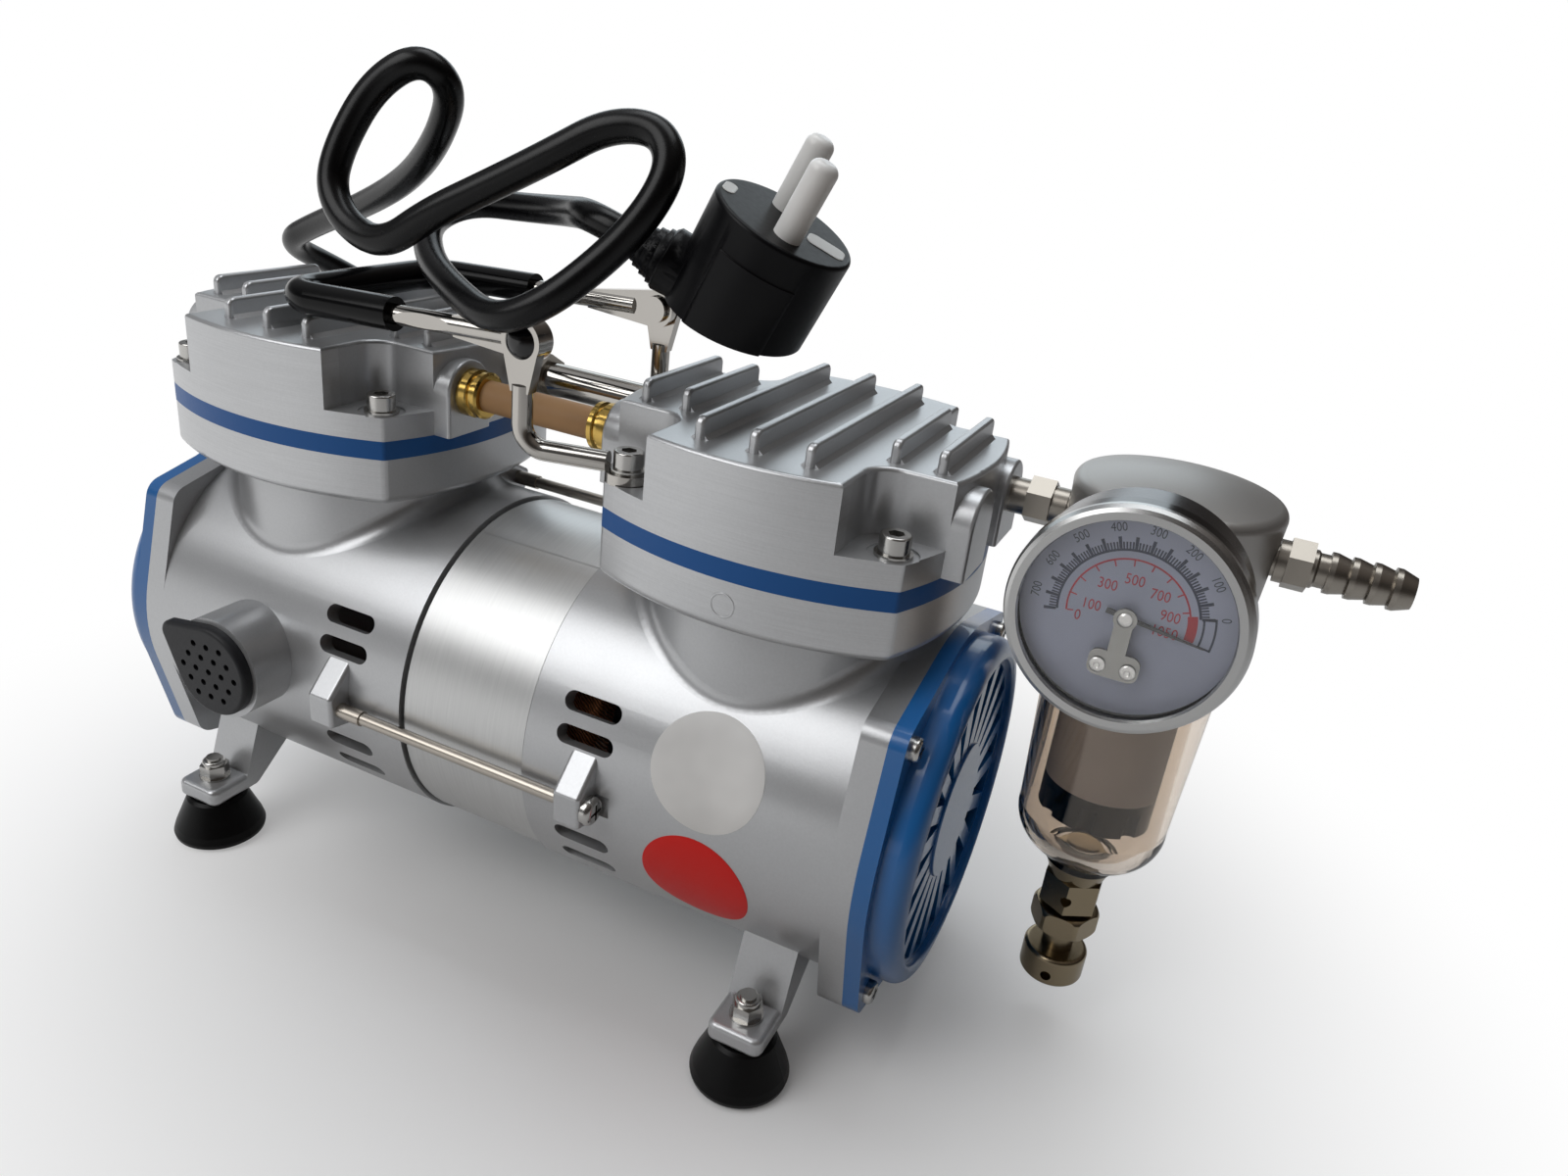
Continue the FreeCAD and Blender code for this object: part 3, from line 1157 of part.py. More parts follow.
def inlet_nipple():
    """Hexagon nipple between the right head's rear port and the filter."""
    start, end = HEAD_X + PORT_BOSS_X, filter_side_x(-1)
    middle = (start + end) / 2
    at = [point(x, FILTER_Y, PORT_Z) for x in (start, middle - NIPPLE_HEX / 2, middle + NIPPLE_HEX / 2, end)]
    nipple = fuse(cylinder(PORT_BORE_R - 0.05, at[0] - X * 7, at[3] + X * 7),
                  cylinder(NIPPLE_R, at[0], at[1] + X), hexagon(NIPPLE_HEX_AF, at[1], at[2]),
                  cylinder(NIPPLE_R, at[2] - X, at[3] - X * FITTING_STAND_OFF))
    return nipple.cut(cylinder(BARB_BORE_R, at[0] - X * 9, at[3] + X * 9))


def hose_barb():
    """Nickel hose tail on the right of the filter head, with a hexagon and ridges."""
    start = filter_side_x(1)
    axis = point(0, FILTER_Y, PORT_Z)
    collar_end, hex_end = start + 3.0, start + 3.0 + BARB_HEX
    tail_start = BARB_TIP_X - BARB_RIDGES * BARB_PITCH
    profile = [(start - 7, BARB_BORE_R), (start - 7, PORT_BORE_R - 0.05), (start + 0.5, PORT_BORE_R - 0.05),
               (start + 0.5, NIPPLE_R + 0.6), (collar_end, NIPPLE_R + 0.6), (collar_end, BARB_R + 0.6),
               (hex_end + 1, BARB_R + 0.6), (hex_end + 1.6, BARB_R), (tail_start, BARB_R)]
    for k in range(BARB_RIDGES):
        x = tail_start + k * BARB_PITCH
        profile += [(x, BARB_RIDGE_R), (x + BARB_LAND, BARB_RIDGE_R), (x + BARB_PITCH - 0.01, BARB_R)]
    profile[-1] = (BARB_TIP_X, BARB_R - 0.4)
    profile.append((BARB_TIP_X, BARB_BORE_R))
    tail = turned([point(x, FILTER_Y, PORT_Z + r) for x, r in profile], axis, X)
    nut = hexagon(BARB_HEX_AF, axis + X * collar_end, axis + X * hex_end)
    bore = cylinder(BARB_BORE_R, axis + X * (start - 8), axis + X * (BARB_TIP_X + 1))
    return fuse(tail, nut.cut(bore))


def filter_bowl():
    """Clear bowl: tapered wall, rounded shoulder, open neck at the bottom and a plug-in collar."""
    top = FILTER_HEAD_Z - BOWL_GAP
    outside = bowl_profile(BOWL_TOP_R, BOWL_LOW_R, BOWL_NECK_R, top, 0)
    inside = bowl_profile(BOWL_COLLAR_R - BOWL_WALL, BOWL_LOW_R - BOWL_WALL, BOWL_NECK_R - BOWL_WALL, top,
                          BOWL_WALL)
    collar = ring(BOWL_COLLAR_R, BOWL_COLLAR_R - BOWL_WALL, on_filter(top - 1), on_filter(top + BOWL_COLLAR))
    neck_bore = cylinder(DRAIN_STEM_R, on_filter(BOWL_NECK_Z - 1), on_filter(BOWL_NECK_Z + BOWL_WALL + 1))
    return fuse(outside.cut([inside, neck_bore]), collar)


def bowl_profile(top_r, low_r, neck_r, top_z, lift):
    """Solid body under the bowl's outside (lift 0) or inside (lift of the wall) surface."""
    shoulder = BOWL_SHOULDER_Z + BOWL_ROUND
    neck_z = BOWL_NECK_Z + lift
    round_end = point(neck_r, 0, neck_z + 4)
    bend = point(low_r - 0.29 * (low_r - neck_r), 0, neck_z + 4 + 0.29 * (shoulder - neck_z - 4))
    edges = [
        Part.makeLine(point(0, 0, neck_z), point(neck_r, 0, neck_z)),
        Part.makeLine(point(neck_r, 0, neck_z), round_end),
        Part.Arc(round_end, bend, point(low_r, 0, shoulder)).toShape(),
        Part.makeLine(point(low_r, 0, shoulder), point(top_r, 0, top_z)),
        Part.makeLine(point(top_r, 0, top_z), point(0, 0, top_z)),
        Part.makeLine(point(0, 0, top_z), point(0, 0, neck_z)),
    ]
    body = Part.Face(Part.Wire(edges)).revolve(ORIGIN, Z, 360)
    body.translate(on_filter(0))
    return body


def filter_element():
    """White sintered element standing on the baffle."""
    return ring(ELEMENT_R, ELEMENT_R - ELEMENT_WALL, on_filter(ELEMENT_Z), on_filter(collar_roof_z()))


def filter_baffle():
    """Black baffle under the element, hung from the head by its stem."""
    disc = cylinder(ELEMENT_R, on_filter(BAFFLE_Z), on_filter(ELEMENT_Z))
    stem = ring(5.0, 3.2, on_filter(ELEMENT_Z - 1), on_filter(collar_roof_z()))
    notches = []
    for k in range(BAFFLE_NOTCHES):
        notch = upright(BAFFLE_NOTCH_R, ELEMENT_R + 1.0, 0, BAFFLE_Z - 1, ELEMENT_Z - 3)
        notch.rotate(ORIGIN, Z, 360.0 * k / BAFFLE_NOTCHES)
        notch.translate(point(FILTER_X, FILTER_Y, 0))
        notches.append(notch)
    return fuse(disc, stem).cut(notches)


def cross_hole(z):
    """Cutter for the small tommy-bar hole in the front of the drain valve."""
    return cylinder(KNOB_HOLE_R, on_filter(z) - Y * (2 * KNOB_R), on_filter(z) - Y * DRAIN_STEM_R)


def drain_body():
    """Drain valve body in the bowl's neck: inner nut, tapered collar, hexagon, ring nut and stem."""
    stem = cylinder(DRAIN_STEM_R, on_filter(KNOB_TOP_Z - 3), on_filter(BOWL_NECK_Z + BOWL_WALL + 5))
    floor = on_filter(BOWL_NECK_Z + BOWL_WALL)
    inner = hexagon(2 * DRAIN_STEM_R + 4, floor, floor + Z * 3)
    low_r, high_r = DRAIN_COLLAR_R
    collar = Part.makeCone(low_r, high_r, BOWL_NECK_Z - DRAIN_HEX_Z, on_filter(DRAIN_HEX_Z), Z)
    body = hexagon(DRAIN_HEX_AF, on_filter(DRAIN_BODY_Z), on_filter(DRAIN_HEX_Z), 30)
    body = body.cut(cross_hole(DRAIN_BODY_Z + 5))
    nut = rounded_nut(DRAIN_NUT_AF, DRAIN_NUT_R, 1.8, on_filter(DRAIN_NUT_Z), on_filter(DRAIN_NUT_TOP_Z))
    return fuse(stem, inner, collar, body, nut)


def drain_knob():
    """Round drain knob under the bowl, bored for the drain stem."""
    knob = cylinder(KNOB_R, on_filter(KNOB_BOTTOM_Z), on_filter(KNOB_TOP_Z))
    knob = knob.makeFillet(1.5, [e for e in knob.Edges if isinstance(e.Curve, Part.Circle)])
    well = cylinder(DRAIN_STEM_R + 0.08, on_filter(KNOB_TOP_Z - 3.3), on_filter(KNOB_TOP_Z + 1))
    return knob.cut([well, cross_hole(KNOB_BOTTOM_Z + 4)])


def on_gauge(y):
    return point(GAUGE_X, y, GAUGE_Z)


def gauge_case():
    """Cup-shaped case with its mounting stem, dial seat and movement block."""
    cup = cylinder(GAUGE_CASE_R, on_gauge(GAUGE_BACK_Y), on_gauge(GAUGE_FRONT_Y + GAUGE_LIP))
    back = edges_where(cup, lambda e: e.CenterOfMass.y > GAUGE_BACK_Y - 0.01)
    cup = cup.makeFillet(3.0, back)
    hollow = cylinder(GAUGE_CASE_R - GAUGE_CASE_WALL, on_gauge(GAUGE_BACK_Y - GAUGE_CASE_WALL - 1.5),
                      on_gauge(GAUGE_FRONT_Y))
    stem = cylinder(PORT_BORE_R - 0.05, on_gauge(GAUGE_BACK_Y - 1), on_gauge(GAUGE_BACK_Y + 10))
    nut_end = on_gauge(filter_front_y() - FITTING_STAND_OFF)
    hexagon_nut = hexagon(GAUGE_STEM_AF, on_gauge(GAUGE_BACK_Y - 0.5), nut_end)
    block = cylinder(GAUGE_MOVEMENT_R, on_gauge(GAUGE_BACK_Y - 2), on_gauge(DIAL_Y + DIAL_T))
    return fuse(cup.cut(hollow), stem, hexagon_nut, block)


def filter_front_y():
    """Where the filter head's front wall stands at gauge height."""
    return FILTER_Y - filter_radius(GAUGE_Z)


def gauge_bezel():
    """Polished rolled bezel that holds the glass."""
    y_back = GAUGE_FRONT_Y + GAUGE_BEZEL_DEPTH
    seat = DIAL_R + 0.3
    y_front, case_r = GAUGE_FRONT_Y, GAUGE_CASE_R + RUNNING_CLEARANCE
    profile = [(case_r, y_back), (GAUGE_BEZEL_R - 0.3, y_back), (GAUGE_BEZEL_R, y_back - 0.6),
               (GAUGE_BEZEL_R, y_front + 2.0), (GAUGE_BEZEL_R - 0.6, y_front + 0.5),
               (GAUGE_BEZEL_R - 1.6, y_front), (DIAL_R - 0.4, y_front), (DIAL_R - 0.8, y_front + 1.0),
               (seat, y_front + 1.0), (seat, y_front + GAUGE_LIP), (case_r, y_front + GAUGE_LIP)]
    bezel = turned([point(r, y, 0) for r, y in profile], ORIGIN, Y)
    bezel.translate(point(GAUGE_X, 0, GAUGE_Z))
    return bezel


def gauge_glass():
    y0 = GAUGE_FRONT_Y + 1.0
    return cylinder(DIAL_R + 0.2, on_gauge(y0), on_gauge(y0 + GLASS_THICKNESS))


def gauge_dial():
    """Dial plate with its hole for the pointer's arbor."""
    return ring(DIAL_R, ARBOR_R + 0.3, on_gauge(DIAL_Y), on_gauge(DIAL_Y + DIAL_T))


def gauge_pointer():
    """Thin pointer with a hub and a short tail, at its resting angle."""
    y0, y1 = DIAL_Y - 1.4, DIAL_Y - 0.9
    blade = polygon_prism([point(-5, y0, 0.7), point(-5, y0, -0.7), point(NEEDLE_LENGTH, y0, -0.15),
                           point(NEEDLE_LENGTH, y0, 0.15)], Y * (y1 - y0))
    hub = cylinder(2.2, point(0, y0 - 0.2, 0), point(0, y1 + 0.2, 0))
    arbor = cylinder(ARBOR_R, point(0, y0, 0), point(0, DIAL_Y - 0.02, 0))
    pointer = fuse(blade, hub, arbor)
    pointer.rotate(ORIGIN, Y, -NEEDLE_REST_ANGLE)
    pointer.translate(on_gauge(0))
    return pointer


def gauge_bridge():
    """Pivot clip over the pointer's hub, screwed to the dial below it."""
    y0, y1 = DIAL_Y - 2.9, DIAL_Y - 2.1
    tongue = box(-2.2, 2.2, y0, y1, -10, 0).fuse(cylinder(2.8, point(0, y0, 0), point(0, y1, 0)))
    foot = box(-6.2, 6.2, y0, y1, -16, -9)
    posts = [cylinder(1.8, point(x, y0 - 0.7, -13), point(x, DIAL_Y, -13)) for x in (-3.7, 3.7)]
    corners = edges_where(foot, lambda e: e.BoundBox.YLength > 0.7 and e.BoundBox.ZLength < 0.01)
    bridge = fuse(tongue, foot.makeFillet(2.4, corners), *posts)
    bridge = bridge.cut([cross_recess(point(x, y0 - 0.7, -13), -Y, 1.3, 0.5) for x in (-3.7, 3.7)])
    bridge.translate(on_gauge(0))
    return bridge


def cord_gland():
    """Closed strain-relief gland on the rear of the left housing."""
    face = point(GLAND_X, GLAND_FACE_Y, GLAND_Z)
    nut = hexagon(GLAND_R * 1.75, face, face + Y * 5)
    tail = turned([point(r, y, 0) for r, y in ((0, GLAND_FACE_Y + 5), (GLAND_R - 1.5, GLAND_FACE_Y + 5),
                                               (CORD_R + 1.2, GLAND_END_Y), (0, GLAND_END_Y))], ORIGIN, Y)
    tail.translate(point(GLAND_X, 0, GLAND_Z))
    spigot = cylinder(CORD_R + CORD_ENTRY_ROOM - RUNNING_CLEARANCE, face - Y * 6, face)
    return fuse(nut, tail, spigot)


CORD_ROUTE = (
    (GLAND_X, GLAND_END_Y, GLAND_Z), (GLAND_X, 92, GLAND_Z), (-108, 112, 112), (-128, 108, 142),
    (-146, 88, 168), (-160, 62, 185), (-160, 36, 197), (-136, 31, 208), (-101, 18, 220), (-67, 3, 234),
    (-43, -11, 249),
    (-30, -20, 264), (-36, -27, 271), (-49, -31, 262), (-56, -37, 246), (-57, -41, 234), (-48, -44, 225),
    (-33, -46, 222), (-18, -44, 233), (-2, -40, 242), (15, -36, 252), (29, -32, 261), (42, -29, 262),
    (49, -32, 255), (47, -37, 244), (38, -42, 231), (25, -51, 217), (10, -53, 210), (-12, -42, 213),
    (-34, -27, 217), (-50, -9, 224), (-45, 5, 230), (-19, 1, 232), (4, -10, 235))


def cord_route():
    """Points of the cord from the gland to the plug's relief, which it enters in line."""
    end = plug_heart() + arm_way() * PLUG_ARM_LENGTH
    return [point(*p) for p in CORD_ROUTE] + [end + arm_way() * CORD_LAST_RUN, end]


def cord_radii():
    """Arc radius at each inner point: 0.45 of the shorter run over the tangent of half the turn."""
    route = cord_route()
    radii = []
    for before, corner, after in zip(route, route[1:], route[2:]):
        run = min((corner - before).Length, (after - corner).Length)
        turn = (corner - before).getAngle(after - corner)
        radii.append(0.45 * run / math.tan(turn / 2))
    return radii


def power_cord():
    wire = round_path(cord_route(), cord_radii())
    tube = tube_along(wire, CORD_R)
    print("cord length", round(wire.Length, 1), "volume over section times length",
          round(tube.Volume / (math.pi * CORD_R ** 2 * wire.Length), 4))
    print("cord radii", [round(r, 1) for r in cord_radii()])
    print("cord end points", [tuple(round(c, 2) for c in p) for p in cord_route()[-2:]])
    return tube


def plug_way():
    return point(*PLUG_AXIS).normalize()


def arm_way():
    """Way out of the plug along its cable arm, square to the plug's axis."""
    arm = point(*PLUG_ARM)
    return (arm - plug_way() * arm.dot(plug_way())).normalize()


def plug_heart():
    """Point on the plug's axis where its cable arm joins."""
    return point(*PLUG_FACE) - plug_way() * PLUG_ARM_DEPTH


def plug_bevel():
    """Cutter for the sloping flat on the plug's back, on the side away from the cable arm."""
    way, arm = plug_way(), arm_way()
    corner = point(*PLUG_FACE) - way * PLUG_LENGTH - arm * PLUG_R
    along = (arm - way).normalize()
    out = (arm + way).normalize() * -PLUG_R
    high = corner + way * PLUG_BEVEL - along * PLUG_R
    low = corner + arm * PLUG_BEVEL + along * PLUG_R
    across = way.cross(arm) * PLUG_R
    return polygon_prism([p - across for p in (high, low, low + out, high + out)], across * 2)


def plug_panel():
    """Raised panel on the plug's front flank."""
    way, arm = plug_way(), arm_way()
    front = way.cross(arm)
    low, high = PLUG_PANEL
    start = point(*PLUG_FACE) + way * low
    reach = front * (PLUG_PANEL_R + 1)
    corners = [start + arm * PLUG_PANEL_HALF, start - arm * PLUG_PANEL_HALF,
               start - arm * PLUG_PANEL_HALF + reach, start + arm * PLUG_PANEL_HALF + reach]
    slab = polygon_prism(corners, way * (high - low))
    return slab.common(cylinder(PLUG_PANEL_R, start, start + way * (high - low)))


def plug_arm():
    """Cable arm with its collar and the grooved, tapering strain relief."""
    wide, narrow = RELIEF_R
    pitch = (PLUG_ARM_LENGTH - PLUG_COLLAR) / (RELIEF_GROOVES + 1)
    profile = [(0, 0), (PLUG_COLLAR_R, 0), (PLUG_COLLAR_R, PLUG_COLLAR - 1), (PLUG_COLLAR_R - 1, PLUG_COLLAR)]
    for k in range(RELIEF_GROOVES + 1):
        start = PLUG_COLLAR + k * pitch
        radius = wide - (wide - narrow) * k / RELIEF_GROOVES
        profile += [(radius, start), (radius, start + pitch * 0.55)]
        if k < RELIEF_GROOVES:
            sunk = radius - RELIEF_GROOVE
            profile += [(sunk, start + pitch * 0.6), (sunk, start + pitch)]
    profile += [(narrow, PLUG_ARM_LENGTH), (0, PLUG_ARM_LENGTH)]
    arm = turned([point(r, 0, z) for r, z in profile], ORIGIN, Z)
    arm.Placement = FreeCAD.Placement(plug_heart(), FreeCAD.Rotation(Z, arm_way()))
    return arm


def plug_body():
    """Moulded angled plug: round body with a sloping back, side panel and cable arm."""
    face = point(*PLUG_FACE)
    body = cylinder(PLUG_R, face - plug_way() * PLUG_LENGTH, face).cut(plug_bevel())
    body = body.makeFillet(PLUG_ROUND, edges_where(body, lambda e: (e.CenterOfMass - face).Length < 0.1))
    return fuse(body, plug_panel(), plug_arm())


def plug_pins():
    """Two round contact pins in the plug's face."""
    way, arm = plug_way(), arm_way()
    turn = math.radians(PIN_TURN)
    across = arm.cross(way) * math.cos(turn) + arm * math.sin(turn)
    face = point(*PLUG_FACE)
    pins = []
    for side in (-1, 1):
        start = face + across * (side * PIN_SPACING / 2)
        pin = cylinder(PIN_R, start, start + way * PIN_LENGTH)
        tip = start + way * PIN_LENGTH
        pins.append(pin.makeFillet(2.5, edges_where(pin, lambda e: (e.CenterOfMass - tip).Length < 0.1)))
    return Part.makeCompound(pins)


def placed(shape):
    moved = shape.copy()
    moved.translate(point(-FRAME_X, -FRAME_Y, 0))
    return moved


def build_parts():
    right_ports = [(-1, -1), (-1, 1), (1, 1)]
    left_ports = [(1, -1), (1, 1)]
    parts = {
        "housing_left": housing_left(),
        "housing_right": housing(BAND_RIGHT_X, False),
        "stator_core": stator_core(),
        "stator_windings": stator_windings(),
        "rotor_core": rotor_core(),
        "motor_shaft": motor_shaft(),
        "shaft_bearings": Part.makeCompound([bearing(), mirrored_x(bearing())]),
        "crank_left": mirrored_x(crank()),
        "crank_right": crank(),
        "con_rod_left": mirrored_x(con_rod()),
        "con_rod_right": con_rod(),
        "piston_left": mirrored_x(piston()),
        "piston_right": piston(),
        "cylinder_liner_left": mirrored_x(cylinder_liner()),
        "cylinder_liner_right": cylinder_liner(),
        "fan_left": mirrored_x(fan()),
        "fan_right": fan(),
        "end_cover_left": mirrored_x(end_cover()),
        "end_cover_right": end_cover(),
        "end_cover_screws": end_cover_screws(),
        "tie_rods": tie_rods(),
        "tie_rod_screws": tie_rod_screws(),
        "valve_plate_left": mirrored_x(valve_plate()),
        "valve_plate_right": valve_plate(),
        "reed_valves": reed_valves(),
        "head_cover_left": head_cover(left_ports).translated(X * -HEAD_X),
        "head_cover_right": head_cover(right_ports).translated(X * HEAD_X),
        "head_screws": head_screws(),
        "crossover_connectors": crossover_connectors(),
        "crossover_sleeve": crossover_sleeve(),
        "rear_line_nuts": rear_line_nuts(),
        "rear_line": rear_line(),
        "handle_bracket_front": handle_bracket(-1),
        "handle_bracket_rear": handle_bracket(1),
        "handle_bail": handle_bail(),
        "handle_grip": handle_grip(),
        "handle_pivots": handle_pivots(),
        "pivot_caps": pivot_caps(),
        "rubber_feet": rubber_feet(),
        "foot_bolts": foot_bolts(),
        "breather_cap": breather_cap(),
        "inlet_nipple": inlet_nipple(),
        "filter_head": filter_head(),
        "filter_bowl": filter_bowl(),
        "filter_element": filter_element(),
        "filter_baffle": filter_baffle(),
        "drain_body": drain_body(),
        "drain_knob": drain_knob(),
        "hose_barb": hose_barb(),
        "gauge_case": gauge_case(),
        "gauge_bezel": gauge_bezel(),
        "gauge_glass": gauge_glass(),
        "gauge_dial": gauge_dial(),
        "gauge_pointer": gauge_pointer(),
        "gauge_bridge": gauge_bridge(),
        "cord_gland": cord_gland(),
    }
    cord = {"power_cord": power_cord(), "plug_body": plug_body(), "plug_pins": plug_pins()}
    return parts, cord


def main():
    os.makedirs("parts", exist_ok=True)
    parts, cord = build_parts()
    whole = FreeCAD.BoundBox()
    for shape in parts.values():
        whole.add(placed(shape).BoundBox)
    print("box without the cord", [round(v, 2) for v in
                                   (whole.XMin, whole.XMax, whole.YMin, whole.YMax, whole.ZMin, whole.ZMax)])
    for name, shape in {**parts, **cord}.items():
        if not shape.isValid():
            print("not valid:", name)
        placed(shape).exportStep(f"parts/{name}.step")
    print(len(parts) + len(cord), "sub-parts")


main()
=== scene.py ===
import math

import bmesh
import bpy
from mathutils import Matrix, Vector

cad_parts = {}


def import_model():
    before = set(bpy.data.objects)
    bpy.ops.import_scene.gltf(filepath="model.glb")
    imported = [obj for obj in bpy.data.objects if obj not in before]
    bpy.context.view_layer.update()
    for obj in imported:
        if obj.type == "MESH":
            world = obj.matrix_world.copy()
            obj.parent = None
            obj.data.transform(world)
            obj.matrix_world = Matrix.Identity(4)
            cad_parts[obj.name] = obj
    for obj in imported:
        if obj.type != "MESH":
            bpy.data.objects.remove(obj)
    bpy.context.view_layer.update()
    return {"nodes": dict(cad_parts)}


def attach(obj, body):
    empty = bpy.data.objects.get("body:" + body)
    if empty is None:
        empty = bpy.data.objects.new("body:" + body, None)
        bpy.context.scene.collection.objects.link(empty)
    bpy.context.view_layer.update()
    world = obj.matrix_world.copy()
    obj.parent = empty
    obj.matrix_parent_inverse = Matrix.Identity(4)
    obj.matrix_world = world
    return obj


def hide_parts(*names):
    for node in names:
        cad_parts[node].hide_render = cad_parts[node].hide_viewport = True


# Twin-head vacuum pump: finishes, printed dial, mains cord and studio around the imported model.
# X runs along the motor shaft, the front faces -Y and Z is up.
# Sizes are in millimetres and places are measured from the motor's centre, unless a heading says metres.

MM = 0.001

# Edges sharper than the angle stay crisp, and points nearer than the weld, in metres, are one
SHARP_ANGLE = math.radians(35)
WELD = 1e-6

# From the motor's own centre to the model's frame, in metres
FRAME_SHIFT = Vector((-48.7, 0.9, 0)) * MM

# Soft panel lights: name, place, aim, width and height in metres, then watts and colour
PANELS = (
    ("key panel", (-0.53, -0.77, 0.93), (0, 0, 0.1), 0.8, 0.8, 6.0, (1, 1, 1)),
    ("top panel", (0.0, 0.2, 1.1), (0, 0, 0.1), 0.8, 0.5, 3.4, (0.93, 0.97, 1.0)),
    ("back panel", (-0.85, 1.85, 0.95), (0, 0, 0.15), 2.2, 0.8, 8.0, (0.84, 0.94, 1.0)))

# World: strength, levels by height from straight down, 0, to straight up, 1, and tone of its dim right side
WORLD_LIGHT = 0.55
SKY_LEVELS = ((0.48, 0.80), (0.56, 0.36), (0.64, 0.20), (0.76, 0.42), (0.90, 0.90))
SKY_BLUENESS = 1.02
DIM_SIDE = (0.34, 0.30, 0.27)

# White sky in reflections, in parts of a unit direction: how far up and how far to the right it shows
HORIZON_WHITE = (0.03, 0.12)
BRIGHT_SKY_X = (-0.35, 0.20)

# White floor, in metres: where it turns into the backdrop, and where to the right reflections stop showing it
FLOOR_FADE = (0.04, 0.34)
BRIGHT_SIDE_X = (-0.30, -0.02)

# Floor disc, in metres, with its tone to the eye and to the light that it sends back
FLOOR_RADIUS = 4.0
FLOOR_SIDES = 96
FLOOR_DROP = 0.0003
FLOOR_ROUGHNESS = 0.8
FLOOR_TONE = (0.84, 0.84, 0.84)
FLOOR_BOUNCE = (0.42, 0.39, 0.36)

# Motor and heads, in millimetres from the motor's centre
SHAFT_Z = 77.6
HOUSING_R = 58.2
HEAD_X = 84.2
HEAD_BASE_Z = 141.5
MACHINED_Y = 41.6
HEAD_CORNER = (44.7, 41.9)
HEAD_REACH_Y = 52.5

# Cast silver paint: slope of machined faces, and how its grain and machined lines show in tone and relief
MACHINED_SLOPE = 0.3
GRAIN_TONE = 0.45
LINE_TONE = 0.7
LINE_RELIEF = 1.6

# Spread of roughness over metal, moulded and painted surfaces, and of a moulded surface's tone
ROUGHNESS_SPREAD = (0.85, 1.2)
PAINT_SPREAD = (0.85, 1.15)
MOULDED_TONE = (0.75, 1.2)

# Round films stuck on the right housing, by their distance round the barrel from shaft height
LABEL_X = 86.2
LABEL_R = 17.7
LABEL_FILM = 0.14
SILVER_LABEL_ARC = 20.6
RED_LABEL_ARC = -17.9
LABEL_SIDES = 72

# Section of a film, in shares of its radius and of its thickness
LABEL_SECTION = ((1.0, 0.0), (1.0, 0.7), (0.985, 1.0), (0.75, 1.0), (0.5, 1.0), (0.25, 1.0), (0.02, 1.0))

# Foil wrapped round the motor between the housings
FOIL_R = 57.0
FOIL_X = (-19.7, 25.2)
FOIL_THICKNESS = 0.12
FOIL_SEAM_ANGLE = 100.0
FOIL_GAP = 0.02
FOIL_EDGE = 0.4
FOIL_STEPS = 144
FOIL_OVERLAP_STEPS = 4

# Foundry mark on the right head's base
MARK_SPOT = (84.6, 149.3)
MARK_R = 3.4
MARK_LINE = 0.34
MARK_SIDES = 48
MARK_SECTION_SIDES = 8

# Gauge dial; angles in degrees, both scales run clockwise from their start
GAUGE_X = 183.2
GAUGE_Z = 169.3
DIAL_Y = -32.5
BEZEL_FRONT_Y = -39.0
BEZEL_RIM = 3.4
BEZEL_BLEND = 0.4
DIAL_LIFT = 0.05
SCALE_START = 190.0
ARC_STEP = 3
RED_RANGE = 1050
RED_SWEEP = 198.0
RED_LINE = (14.3, 14.75)
RED_TICK_IN = 12.8
RED_TICK_WIDTH = 0.35
RED_TICK_EVERY = 100
RED_BLOCK = (13.9, 16.2)
RED_BLOCK_FROM = 920
NAVY_RANGE = 750
NAVY_SWEEP = 176.0
NAVY_LINE = (16.5, 17.1)
NAVY_LONG_TICK = 20.1
NAVY_LONG_WIDTH = 0.75
NAVY_LONG_EVERY = 50
NAVY_SHORT_TICK = 18.8
NAVY_SHORT_WIDTH = 0.4
NAVY_SHORT_EVERY = 10
NAVY_FRAME = (17.6, 20.3)
NAVY_FRAME_ANGLES = (14.0, -9.0)
NAVY_FRAME_LINE = 0.5
NAVY_NUMBER_EVERY = 100
NUMBER_RADIUS = 22.4
RED_NUMBERS = (
    ("0", -11.4, -3.2), ("100", -8.8, 0.4), ("300", -6.2, 6.6), ("500", -0.3, 9.3), ("700", 6.2, 7.2),
    ("900", 9.6, 2.6), ("1050", 9.2, -1.6))
RED_NUMBER_SIZE = 3.9
NAVY_NUMBER_SIZE = 3.2
NUMBER_WIDTH = 0.82
NUMBER_ROUNDING = 4

# Screw heads on the gauge bridge: half spacing, drop below the pivot, and profiles as radius and rise
BRIDGE_SCREW_SPACING = 3.7
BRIDGE_SCREW_DROP = 13.0
BRIDGE_SCREW_Y = -36.1
BRIDGE_PIVOT_Y = -35.4
BRIDGE_SCREW_SIDES = 32
BRIDGE_SCREW_PROFILE = (
    (1.95, -0.4), (1.95, 0.0), (1.75, 0.20), (1.2, 0.32), (0.8, 0.30), (0.55, 0.06), (0.05, 0.04))
BRIDGE_PIVOT_PROFILE = ((1.9, -0.2), (1.9, 0.25), (1.6, 0.60), (1.0, 0.80), (0.5, 0.86), (0.05, 0.88))

# Plug: middle of its face, its axis, the way to its cord arm, and the depth and tilt of its closed end
PLUG_FACE = (74.4, -15.8, 243.1)
PLUG_AXIS = (0.432, -0.030, 0.9015)
PLUG_ARM = (-0.860, -0.3147, 0.4018)
PLUG_DEPTH = 29.8
PLUG_END_TILT = 0.12

